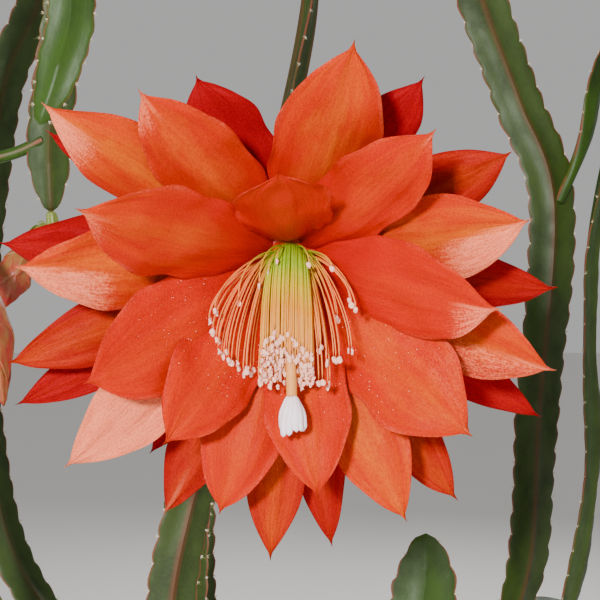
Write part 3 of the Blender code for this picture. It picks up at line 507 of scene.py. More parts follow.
def throat_skin():
    """Wet, smooth tissue inside the throat: green in the cup, coral where the tepals start."""
    bloom = bpy.context.scene.epi_bloom
    skin = Finish("throat_skin", Roughness=0.35, Subsurface_Weight=0.15, Subsurface_Scale=0.002)
    base = skin.ramp(skin.mark("rise"), (0.0, bloom.inner_red), (0.42, bloom.inner_red),
                     (0.56, bloom.throat_green), (1.0, bloom.throat_green))
    veins = skin.speckle(skin.skin_map(0.1), 0.5)
    base = skin.blend(skin.between(veins, 0.3, 0.7, 0.25, 0.0), base, bloom.throat_green,
                      "MULTIPLY")
    return skin.finish(base, height=veins, depth=0.1)


def filament_skin(name, tip, side):
    """Threads of glassy tissue: green at the foot, then yellow and tan, with a paler tip."""
    bloom = bpy.context.scene.epi_bloom
    skin = Finish(name, Roughness=0.4, Specular_IOR_Level=0.15, Subsurface_Weight=0.2,
                  Subsurface_Scale=0.001)
    # The colour changes with the distance from the foot, and sooner on threads at the sides.
    tone = skin.mark("tone")
    place = skin.times(skin.mark("along_mm"), skin.times(tone, 9.0), "ADD")
    base = skin.ramp(skin.times(place, 1 / 45.0), (0.0, bloom.throat_green),
                     (0.42, bloom.throat_green), (0.56, bloom.filament_yellow),
                     (0.7, bloom.filament_tan), (1.0, tip))
    away = skin.times(tone, skin.between(place, 12.0, 30.0))
    base = skin.blend(away, base, side)
    grain = skin.speckle(skin.in_mm(), 1.5)
    base = skin.blend(skin.between(grain, 0.35, 0.7, 0.0, 0.06), base, bloom.pollen)
    return skin.finish(base, height=grain, depth=0.04)


def powdery(name, tint, size, depth, shade):
    """A dry, matt surface of loose grains of one size in millimetres. Real pollen grains and
    papillae are too fine to show, so the size given is coarser."""
    skin = Finish(name, Roughness=0.8, Subsurface_Weight=0.1, Subsurface_Scale=0.001,
                  Sheen_Weight=0.2)
    grains = skin.add("TexVoronoi", {"Vector": skin.in_mm(), "Scale": 1.0 / size})
    clouds = skin.speckle(skin.in_mm(), 6 * size)
    base = skin.blend(skin.between(clouds, 0.3, 0.7, shade, 0.0), tint,
                      bpy.context.scene.epi_bloom.filament_tan)
    rough = skin.between(clouds, 0.3, 0.7, 0.7, 0.9)
    return skin.finish(base, rough, grains.outputs["Distance"], depth=depth, strength=0.5)


def tube_skin(name):
    """Fleshy tissue of the tube, its scales and the buds: green at the foot, red at the tip."""
    bloom = bpy.context.scene.epi_bloom
    skin = Finish(name, Roughness=0.4, Subsurface_Weight=0.1, Subsurface_Scale=0.002)
    base = skin.ramp(skin.mark("tone"), (0.0, bloom.tube_green), (0.3, bloom.tube_green),
                     (0.62, linear("#A8452A")), (1.0, bloom.outer_red))
    veins = skin.speckle(skin.skin_map(0.1), 0.6)
    clouds = skin.speckle(skin.skin_map(0.5), 4.0)
    base = skin.blend(skin.between(clouds, 0.35, 0.7, 0.0, 0.4), base, bloom.tube_green)
    base = skin.blend(skin.between(veins, 0.3, 0.7, 0.3, 0.0), base, bloom.outer_red, "MULTIPLY")
    rough = skin.between(clouds, 0.3, 0.7, 0.34, 0.5)
    return skin.finish(base, rough, veins, depth=0.12)


# Made and earthy finishes

def fired_clay():
    """Unglazed terracotta, thrown on a wheel: matt and gritty, with rings from the fingers, a dry
    bloom of salts and a damp dark band behind the soil."""
    pot = bpy.context.scene.epi_pot
    clay = Finish("terracotta", Roughness=0.85, IOR=1.5)
    place = clay.in_mm()
    axes = clay.add("SeparateXYZ", {"Vector": place})
    clouds = clay.speckle(place, 34.0, detail=5.0)
    stains = clay.speckle(place, 11.0, detail=6.0, roughness=0.65)
    grit = clay.speckle(place, 0.7, detail=2.0)
    rings = clay.add("TexWave", {"Vector": place, "Scale": 0.11, "Distortion": 2.2,
                                 "Detail Scale": 0.4}, bands_direction="Z")
    base = clay.blend(clay.between(clouds, 0.3, 0.7), pot.clay, linear("#C97A50"))
    base = clay.blend(clay.between(stains, 0.5, 0.8, 0.0, 0.35), base, pot.lime)
    damp = clay.times(clay.between(axes.outputs["Z"], 40.0, 8.0), clay.between(
        clouds, 0.3, 0.6, 0.2, 0.55))
    base = clay.blend(damp, base, linear("#8A4A2E"))
    base = clay.blend(clay.between(grit, 0.6, 0.75, 0.0, 0.35), base, linear("#7E4128"))
    relief = clay.times(grit, clay.times(rings.outputs["Fac"], 0.8), "ADD")
    rough = clay.between(stains, 0.3, 0.7, 0.75, 0.95)
    return clay.finish(base, rough, relief, depth=0.35, strength=0.5)


def crumbly(name, tint, dark, size):
    """Earth, bark or perlite: dull, porous and uneven at one grain size in millimetres."""
    crumb = Finish(name, Roughness=0.95)
    place = crumb.in_mm()
    patches = crumb.speckle(place, 5 * size, detail=4.0)
    grain = crumb.speckle(place, size, detail=4.0, roughness=0.7)
    base = crumb.blend(crumb.between(grain, 0.3, 0.7), dark, tint)
    base = crumb.blend(crumb.between(patches, 0.35, 0.7, 0.4, 0.0), base, dark)
    rough = crumb.between(grain, 0.3, 0.7, 0.85, 1.0)
    return crumb.finish(base, rough, grain, depth=0.8 * size, strength=0.8)


def tuft_skin(name, tint, dark):
    """Plant hair: dry and translucent, flecked with a darker tint."""
    hair = Finish(name, Roughness=0.6, Subsurface_Weight=0.2, Subsurface_Scale=0.0005)
    grain = hair.speckle(hair.in_mm(), 0.8)
    base = hair.blend(hair.between(grain, 0.35, 0.7), dark, tint)
    return hair.finish(base, height=grain, depth=0.05)


def painted_floor():
    """Matt emulsion paint, rolled on a smooth floor: almost even, with a faint stipple."""
    floor = bpy.context.scene.epi_stage.floor
    paint = Finish("matt_floor_paint", Roughness=0.9)
    stipple = paint.speckle(paint.in_mm(), 3.0)
    base = paint.blend(paint.between(stipple, 0.3, 0.7, 0.0, 0.04), floor, linear("#C9C6C1"))
    return paint.finish(base, height=stipple, depth=0.1, strength=0.2)


# Shapes

MARKS = ("rise", "reach", "along_mm", "across_mm", "tone", "pale")


def new_shape():
    """An empty bmesh whose points carry the marks that the finishes read."""
    bm = bmesh.new()
    for name in MARKS:
        bm.verts.layers.float.new(name)
    return bm


def loft(bm, around, along, place):
    """Wrap a sheet round a form. place gives the point, in millimetres, and the marks for a turn
    and a rise that both go from 0 to 1."""
    layers = [bm.verts.layers.float[name] for name in MARKS]
    sheet = bmesh.ops.create_grid(bm, x_segments=around, y_segments=along, size=0.5)["verts"]
    for vert in sheet:
        point, marks = place(vert.co.x + 0.5, vert.co.y + 0.5)
        vert.co = point * MM
        for layer, value in zip(layers, marks):
            vert[layer] = value
    bmesh.ops.remove_doubles(bm, verts=sheet, dist=WELD)


def put_in_scene(name, data):
    made = bpy.data.objects.new(name, data)
    bpy.context.scene.collection.objects.link(made)
    return made


def add_piece(name, bm, material, slot, *nodes, crease=40.0):
    """Make the finished object, which rides with the pot and stands for CAD nodes."""
    bmesh.ops.recalc_face_normals(bm, faces=bm.faces)
    mesh = bpy.data.meshes.new(name)
    bm.to_mesh(mesh)
    bm.free()
    mesh.shade_smooth()
    mesh.set_sharp_from_angle(angle=radians(crease))
    mesh.materials.append(material)
    piece = put_in_scene(name, mesh)
    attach(piece, "root")
    if nodes:
        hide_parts(*nodes)
    return piece


def two_faced(turn, rise):
    """Column from -1 to 1 across a thin blade, and its face: 1, -1, or 0 on its rim and tip."""
    column = cos(2 * pi * turn)
    if abs(column) > 0.999 or rise > 0.999:
        return column, 0.0
    return column, 1 if sin(2 * pi * turn) > 0 else -1


def round_axis(angle, radius=1.0, height=0.0):
    """A point on a level circle round the Z axis."""
    return Vector((radius * cos(angle), radius * sin(angle), height))


def on_ring(ring, turn, radius):
    """A point on a cross-section, which is given as its centre and two directions."""
    centre, aside, up = ring
    return centre + (aside * cos(2 * pi * turn) + up * sin(2 * pi * turn)) * radius


def template(shape):
    """Keep a small shape as a mesh, to be copied many times."""
    mesh = bpy.data.meshes.new("template")
    shape.to_mesh(mesh)
    shape.free()
    return mesh


def scatter(bm, templates, places):
    """Add a copy of a template at each place, the templates taking turns."""
    for index, matrix in enumerate(places):
        copy = templates[index % len(templates)].copy()
        copy.transform(matrix)
        bm.from_mesh(copy)
        bpy.data.meshes.remove(copy)
    for mesh in templates:
        bpy.data.meshes.remove(mesh)


def blend(start, end, share):
    return start + (end - start) * share


def ease(value):
    """Rise smoothly from 0 to 1 as the value goes from 0 to 1."""
    value = min(max(value, 0.0), 1.0)
    return value * value * (3 - 2 * value)


def read_outline(outline, share):
    """The value of an outline of (share, value) points at one share, with smooth steps."""
    for (low, first), (high, second) in zip(outline, outline[1:]):
        if share <= high:
            return blend(first, second, ease((share - low) / (high - low)) * 0.5
                         + (share - low) / (high - low) * 0.5)
    return outline[-1][1]


def bezier(corners, share):
    """A point on the Bezier curve of three or four corners."""
    while len(corners) > 1:
        corners = [first.lerp(second, share) for first, second in zip(corners, corners[1:])]
    return corners[0]


def pointing(direction, spin=0.0):
    """A turn that takes +Z to a direction."""
    turn = Vector(direction).to_track_quat("Z", "Y").to_matrix().to_4x4()
    return turn @ Matrix.Rotation(spin, 4, "Z")


class Route:
    """A smooth line through given points, read by its length in millimetres."""

    STEPS = 12

    def __init__(self, points, upright_foot=False):
        knots = [Vector(point) for point in points]
        slopes = [(after - before) / 2 for before, after in zip(knots, knots[2:])]
        slopes = [knots[1] - knots[0]] + slopes + [knots[-1] - knots[-2]]
        if upright_foot:
            slopes[1] = slopes[0]
        self.samples = []
        for index in range(len(knots) - 1):
            for step in range(self.STEPS):
                self.samples.append(self.curve(knots, slopes, index, step / self.STEPS))
        self.samples.append(knots[-1])
        self.reach = [0.0]
        for first, second in zip(self.samples, self.samples[1:]):
            self.reach.append(self.reach[-1] + (second.xyz - first.xyz).length)
        self.length = self.reach[-1]

    @staticmethod
    def curve(knots, slopes, index, t):
        """Hermite curve from one knot to the next."""
        rest = 1 - t
        return (knots[index] * (1 + 2 * t) * rest * rest + slopes[index] * t * rest * rest
                + knots[index + 1] * t * t * (3 - 2 * t) - slopes[index + 1] * t * t * rest)

    def at(self, place):
        place = min(max(place, 0.0), self.length)
        index = 0
        while self.reach[index + 1] < place:
            index += 1
        span = self.reach[index + 1] - self.reach[index]
        return self.samples[index].lerp(self.samples[index + 1],
                                        (place - self.reach[index]) / span)

    def direction(self, place):
        return (self.at(place + 1.0).xyz - self.at(place - 1.0).xyz).normalized()

    def ring(self, place):
        """Centre and the two directions of a cross-section, with no twist to speak of."""
        along = self.direction(place)
        aside = Vector((1, 0, 0))
        aside = (aside - along * aside.dot(along)).normalized()
        return self.at(place).xyz, aside, along.cross(aside)


# Stems

class Stem:
    """A flat stem or side shoot. Places along it are lengths from its foot."""

    def __init__(self, half_width, pitch, age, points, is_shoot=False):
        self.route = Route(points, upright_foot=not is_shoot)
        self.length = self.route.length
        self.half_width = half_width
        self.pitch = pitch * NOTCH_SHARE
        self.age = age
        self.bark_passed = BARK_LENGTH if is_shoot else 0.0
        self.foot_radius = SHOOT_FOOT_RADIUS if is_shoot else STEM_FOOT_RADIUS
        self.foot_length = SHOOT_FOOT_LENGTH if is_shoot else STEM_FOOT_LENGTH
        self.rows = int(self.length / STEM_ROW)
        self.frames = {}

    def opened(self, place):
        """How far the round foot has opened into wings, from 0 to 1."""
        return ease((place - self.foot_length) / WINGS_OPEN_WITHIN)

    def near_tip(self, place):
        return min(1.0, (self.length - place) / TIP_TAPER)

    def width(self, place):
        full = blend(self.foot_radius, self.half_width, self.opened(place))
        return full * (0.22 + 0.78 * (1 - (1 - self.near_tip(place)) ** 2.2))

    def notch(self, place, side):
        """Depth of the scalloped edge, from 0 at a crest to 1 at a notch."""
        shift = 0.0 if side > 0 else 0.5
        phase = ((place - self.foot_length) / self.pitch + shift) % 1.0
        if phase < CREST_PLACE:
            return 1 - sin(pi / 2 * phase / CREST_PLACE)
        return ((phase - CREST_PLACE) / (1 - CREST_PLACE)) ** 1.6

    def frame(self, place):
        """Centre, direction across the wings and direction of the flat side."""
        if place not in self.frames:
            centre = self.route.at(place)
            along = self.route.direction(place)
            turn = radians(centre.w)
            across = round_axis(turn)
            across = (across - along * across.dot(along)).normalized()
            self.frames[place] = (centre.xyz, across, along.cross(across))
        return self.frames[place]

    def half_thickness(self, place, column):
        """Half the stem's thickness at a share of its half-width."""
        opened = self.opened(place)
        width = self.width(place)
        wing = blend(WING_ROOT_HALF_THICKNESS, WING_EDGE_HALF_THICKNESS, abs(column))
        rib = RIB_HEIGHT * exp(-(column * width / RIB_SPREAD) ** 2)
        rounded = sqrt(max(0.0, 1 - abs(column) ** 10))
        blade = (wing + rib) * rounded * (0.45 + 0.55 * self.near_tip(place))
        return blend(self.foot_radius * sqrt(max(0.0, 1 - column * column)), blade, opened)

    def place(self, turn, rise):
        place = self.length * round(rise * self.rows) / self.rows
        centre, across, up = self.frame(place)
        swing = cos(2 * pi * turn)
        column = abs(swing) ** (1 + 0.6 * self.opened(place)) * (1 if swing > 0 else -1)
        face = 1 if sin(2 * pi * turn) > 0 else -1
        # Both ends are rounded off, the tip over 2 mm and the foot over 0.5 mm.
        closing = sqrt(min(1.0, (self.length - place) / 2.0, place / 0.5))
        depth = NOTCH_DEPTH * (0.2 + 0.8 * self.opened(place)) * self.notch(place, column)
        width = self.width(place) * (1 - depth * abs(column) ** 3) * closing
        lift = face * self.half_thickness(place, column) * closing
        buckle = 0.5 * self.opened(place) * abs(column) ** 2 * sin(place / 9 + 2 * column)
        point = centre + across * width * column + up * (lift + buckle * closing)
        along = place + self.bark_passed
        return point, (rise, column, along, column * width, self.age, 0.0)

    def areoles(self):
        """Spot, outward and tipward directions of each notch on both edges."""
        found = []
        for side in (-1, 1):
            place = self.foot_length + self.pitch * (1.0 if side > 0 else 0.5)
            while place < self.length - 2.0:
                centre, across, up = self.frame(place)
                spot = centre + across * side * self.width(place) * (1 - NOTCH_DEPTH)
                if self.opened(place) > 0.3:
                    found.append((spot, across * side, self.route.direction(place)))
                place += self.pitch
        return found


def tuft_template(dice, hairs, size, radius, spread):
    """A small bunch of tapered hairs round +Z."""
    shape = bmesh.new()
    for hair in range(hairs):
        tall = size * dice.uniform(0.55, 1.0)
        lean = pointing((dice.uniform(-spread, spread), dice.uniform(-spread, spread), 1.0))
        matrix = lean @ Matrix.Translation((0, 0, 0.45 * tall * MM))
        bmesh.ops.create_cone(shape, cap_ends=True, segments=3, radius1=radius * MM,
                              radius2=0.15 * radius * MM, depth=tall * MM, matrix=matrix)
    return template(shape)


class EPI_OT_stems(bpy.types.Operator):
    """Grow the flat notched stems and their side shoots"""

    bl_idname = "epiphyllum.stems"
    bl_label = "Stems"

    def execute(self, context):
        skin = stem_skin()
        spots = []
        for name, *columns in STEMS:
            bm = new_shape()
            stems = [Stem(*columns)]
            stems += [Stem(*shoot, is_shoot=True) for parent, *shoot in SHOOTS if parent == name]
            for stem in stems:
                loft(bm, STEM_AROUND, stem.rows, stem.place)
                spots += stem.areoles()
            add_piece(name + "_skin", bm, skin, "stem", name)
        self.add_tufts(context.scene.epi_stems, spots)
        return {"FINISHED"}

    def add_tufts(self, settings, spots):
        """Woolly areoles with a few fine bristles in each notch."""
        dice = random.Random(21)
        places = [Matrix.Translation(spot * MM) @ pointing(outward + tipward * 0.4, 2 * index)
                  for index, (spot, outward, tipward) in enumerate(spots)]
        wool = bmesh.new()
        scatter(wool, [tuft_template(dice, 12, 1.3, 0.13, 0.9) for kind in range(5)], places)
        wool_skin = tuft_skin("areole_wool", settings.wool, linear("#B9AC8E"))
        add_piece("areole_wool", wool, wool_skin, "stem")
        tall = settings.bristle_length / MM
        bristles = bmesh.new()
        scatter(bristles, [tuft_template(dice, 3, tall, 0.07, 0.6) for kind in range(5)], places)
        bristle_skin = tuft_skin("areole_bristles", settings.bristle, linear("#9A7A48"))
        add_piece("areole_bristles", bristles, bristle_skin, "stem")


# Flower

def flower_matrix():
    return Matrix.Translation(THROAT * MM) @ Matrix.Rotation(radians(90 + FLOWER_NOD), 4, "X")


def to_flower(direction):
    """Turn a direction of the world into the flower's own frame."""
    return flower_matrix().to_3x3().inverted() @ Vector(direction)


def set_in_flower(bm):
    bmesh.ops.transform(bm, matrix=flower_matrix(), verts=bm.verts)


class Tepal:
    """One petal-like blade, in the flower's own frame, whose +Z runs out of the throat. The
    shortest one is a hood over the throat, and bows its tip over it."""

    ROWS = 54
    AROUND = 40

    def __init__(self, ring, shape, looks):
        root_radius, root_height, bow, self.cup, self.belly = ring
        clock, length, width, lean, roll = shape
        self.tone, *self.pale, self.fold, self.power = looks
        turn = radians(clock)
        outward = round_axis(turn)
        self.sideways = Vector((sin(turn), -cos(turn), 0.0))
        axis = Vector((0.0, 0.0, 1.0))
        tilt = radians(lean)
        rise = radians(lean - bow)
        self.corners = [outward * root_radius + axis * root_height,
                        (outward * sin(rise) + axis * cos(rise)) * 0.5 * length,
                        (outward * sin(tilt) + axis * cos(tilt)) * length]
        self.length = length
        self.half_width = width / 2
        self.phase = radians(7 * clock)
        self.roll = radians(roll)
        self.thickness = bpy.context.scene.epi_bloom.tepal_thickness / MM

    def fullness(self, share):
        """Share of the half-width: a broad oval that ends in a fine point."""
        if share < self.belly:
            return blend(0.3, 1.0, sin(pi / 2 * (share / self.belly) ** 0.9))
        beyond = (share - self.belly) / (0.975 - self.belly)
        return max(1 - min(beyond, 1.0) ** self.power, 0.09 * (1 - share) / 0.07)

    def blade(self, share, column, face):
        """A point of the blade, lifted off its middle sheet towards its back."""
        along = (bezier(self.corners[1:], share) - bezier(self.corners[:-1], share)).normalized()
        across = Matrix.Rotation(self.roll * share, 3, along) @ self.sideways
        back = along.cross(across)
        full = self.fullness(share)
        rim = abs(column)
        # The fine point turns back, and the rims bend back.
        lift = 2.0 * max(0.0, 10 * share - 9) ** 2
        if self.length < HOOD_UNDER:
            lift -= HOOD_BOW * max(0.0, 4 * share - 3) ** 2
        lift += self.cup * rim ** 1.5 * full
        lift += self.fold * rim ** 3 * full
        # The blade is channelled towards its tip, so that its two halves catch the light apart.
        lift -= 0.24 * ease((share - 0.5) / 0.4) * rim * full * self.half_width
        # Long waves of the rims, then short ones at the margin
        lift += 0.9 * sin(9 * share + 2 * column + self.phase) * rim * 4 * share * (1 - share)
        lift += 0.25 * rim ** 4 * sin(37 * share + 4 * column + self.phase) * ease(4 * share)
        # Uneven growth, and soft ribs that run along the blade
        free = ease(5 * share) * (0.4 + 0.6 * full)
        place = Vector((4.5 * share, 2.2 * column, 7 * self.phase))
        lift += 1.3 * free * noise.noise(place)
        ribs = Vector((2.2 * share, column * self.half_width * full / 2.1, 5 * self.phase))
        lift += 0.5 * free * noise.noise(ribs)
        # Thick at the foot, and thin towards the tip and the margins
        body = 0.55 + 0.7 * (1 - share) ** 4
        lift += face * self.thickness / 2 * (0.25 + body * (1 - rim ** 2.5))
        centre = bezier(self.corners, share)
        ragged = 1 + 0.035 * rim ** 3 * sin(23 * share + 2 * self.phase) * ease(4 * share)
        return centre + across * self.half_width * full * ragged * column + back * lift

    def painted_sheen(self, share, column):
        """How much painted sheen, a pale reflection of the light, covers a place."""
        amount, start, side = self.pale
        amount *= ease((share - start) / 0.22 + 0.5)
        # The painted sheen lies on the half that faces the light, from the given column to that
        # margin.
        beyond = (column - side) * (1 if side > 0 else -1)
        edge = ease(0.5 + 4.0 * beyond) if side else 1.0
        return amount * max(edge, 0.12 * ease((share - 0.65) / 0.2))

    def place(self, turn, rise):
        column, face = two_faced(turn, rise)
        point = self.blade(rise, column, face)
        across = column * self.half_width * self.fullness(rise)
        return point, (rise, column, rise * self.length, across, self.tone,
                       self.painted_sheen(rise, column))


# Each ring: root radius and height, bow, cup (how far the rims bend back) and place of the belly
INNER_RING = (6.3, 1.2, 8.0, 2.2, 0.56)
MIDDLE_RING = (8.0, 0.8, 8.0, 1.8, 0.56)
OUTER_RINGS = [(8.7, height, 7.0, 1.6, 0.60) for height in (-5.0, -8.0, -11.0)]


class EPI_OT_tepals(bpy.types.Operator):
    """Open the red outer tepals and the orange inner ones"""

    bl_idname = "epiphyllum.tepals"
    bl_label = "Tepals"

    def execute(self, context):
        bloom = context.scene.epi_bloom
        red = tepal_skin("outer_tepal_skin", linear("#800108"), bloom.outer_red,
                         linear("#C44006"), bloom.painted_sheen, 0.04, 0.0)
        outer = new_shape()
        for index, (shape, looks) in enumerate(zip(OUTER_TEPALS, OUTER_LOOKS)):
            tepal = Tepal(OUTER_RINGS[index % 3], shape, looks)
            loft(outer, Tepal.AROUND, Tepal.ROWS, tepal.place)
        set_in_flower(outer)
        add_piece("outer_tepals", outer, red, "outer_tepal", "bloom_outer_tepals")
        orange = tepal_skin("inner_tepal_skin", linear("#AE0E08"), bloom.inner_red, bloom.glow,
                            bloom.painted_sheen, 0.07, 0.2)
        inner = new_shape()
        tepals = [Tepal(MIDDLE_RING, *pair) for pair in zip(MIDDLE_TEPALS, MIDDLE_LOOKS)]
        tepals += [Tepal(INNER_RING, *pair) for pair in zip(INNER_TEPALS, INNER_LOOKS)]
        for tepal in tepals:
            loft(inner, Tepal.AROUND, Tepal.ROWS, tepal.place)
        set_in_flower(inner)
        add_piece("inner_tepals", inner, orange, "inner_tepal", "bloom_inner_tepals")
        self.add_pollen(bloom, tepals)
        return {"FINISHED"}

    def add_pollen(self, bloom, tepals):
        """Loose pollen, fallen on the tepals under the anthers."""
        dice = random.Random(31)
        grain = bmesh.new()
        bmesh.ops.create_icosphere(grain, subdivisions=1, radius=POLLEN_RADIUS * MM)
        below = [tepal for tepal in tepals[len(MIDDLE_TEPALS):] if tepal.corners[2].y < 0]
        places = []
        for speck in range(POLLEN_SPECKS):
            tepal = dice.choice(below)
            share = dice.triangular(0.25, 0.75, 0.5)
            spot = tepal.blade(share, dice.uniform(-0.85, 0.85), -1) + Vector((0, 0, 0.1))
            size = dice.uniform(0.4, 1.1)
            places.append(Matrix.Translation(spot * MM) @ Matrix.Scale(size, 4))
        bm = bmesh.new()
        scatter(bm, [template(grain)], places)
        set_in_flower(bm)
        add_piece("loose_pollen", bm, powdery("loose_pollen", bloom.pollen, 0.2, 0.05, 0.1),
                  "stamen")


class EPI_OT_throat(bpy.types.Operator):
    """Line the throat and shape the floral tube with its scales"""

    bl_idname = "epiphyllum.throat"
    bl_label = "Throat and tube"

    def execute(self, context):
        profile = [THROAT_PROFILE[0]]
        for first, second in zip(THROAT_PROFILE, THROAT_PROFILE[1:]):
            profile += [tuple(blend(a, b, part / 4) for a, b in zip(first, second))
                        for part in range(1, 5)]
        profile += [(0.0, -14.0), (0.0, -16.0), (8.0, -14.0), (9.3, -6.0), THROAT_PROFILE[0]]
        rows = len(profile) - 1

        def place(turn, rise):
            radius, height = profile[round(rise * rows)]
            angle = 2 * pi * turn
            return (round_axis(angle, radius, height),
                    (rise, 0.0, 20 * rise, radius * angle, 0.5, 0.0))

        bm = new_shape()
        loft(bm, 48, rows, place)
        set_in_flower(bm)
        add_piece("throat_lining", bm, throat_skin(), "inner_tepal", "bloom_inner_tepals")
        self.add_tube()
        return {"FINISHED"}

    def add_tube(self):
        """Tube from the stem to the tepals, with pointed scales in a spiral."""
        inverse = flower_matrix().inverted()
        leave = to_flower(TUBE_LEAVES_BY).normalized()
        start = inverse @ (TUBE_SEAT * MM) / MM - leave * TUBE_SINK
        straight = Vector((0.0, 0.0, -24.0))
        pull = (start - straight).length * 0.4
        corners = [start, start + leave * pull, straight - Vector((0, 0, pull)), straight]
        points = [bezier(corners, step / 16) for step in range(17)]
        points += [Vector((0.0, 0.0, height)) for height, radius in RECEPTACLE]
        route = Route(points)
        bend = route.length + RECEPTACLE[0][0] - 6.0
        outline = [(share * bend, radius) for share, radius in TUBE_OUTLINE]
        outline += [(route.length + height, radius) for height, radius in RECEPTACLE]

        def skin_point(turn, place, proud=0.0):
            radius = read_outline(outline, place) + proud
            radius *= 1 + 0.05 * cos(2 * pi * turn * 5)
            return on_ring(route.ring(place), turn, radius)

        def place(turn, rise):
            height = route.length * rise
            closing = 1.0 if 0.0 < rise < 1.0 else 0.0
            point = route.ring(height)[0].lerp(skin_point(turn, height), closing)
            return point, (rise, 0.0, height, 30 * turn, 0.2 + 0.8 * rise, 0.0)

        bm = new_shape()
        loft(bm, 40, 60, place)
        for index in range(TUBE_SCALES):
            turn = index * SCALE_TURN
            foot = blend(0.14, 0.86, index / TUBE_SCALES) * route.length
            reach = blend(5.0, 13.0, index / TUBE_SCALES)
            spread = blend(0.10, 0.16, index / TUBE_SCALES)

            def scale_place(across, rise, turn=turn, foot=foot, reach=reach, spread=spread):
                column, face = two_faced(across, rise)
                width = spread * sin(pi * (0.35 + 0.65 * rise)) ** 0.8
                proud = 0.1 + 2.4 * rise ** 2 + 0.3 * face * (1 - rise)
                where = min(foot + reach * rise, route.length)
                point = skin_point(turn + width * column, where, proud)
                return point, (rise, column, where, 8 * column, 0.35 + 0.6 * rise, 0.0)

            loft(bm, 12, 10, scale_place)
        set_in_flower(bm)
        add_piece("floral_tube", bm, tube_skin("floral_tube_skin"), "outer_tepal",
                  "bloom_outer_tepals")


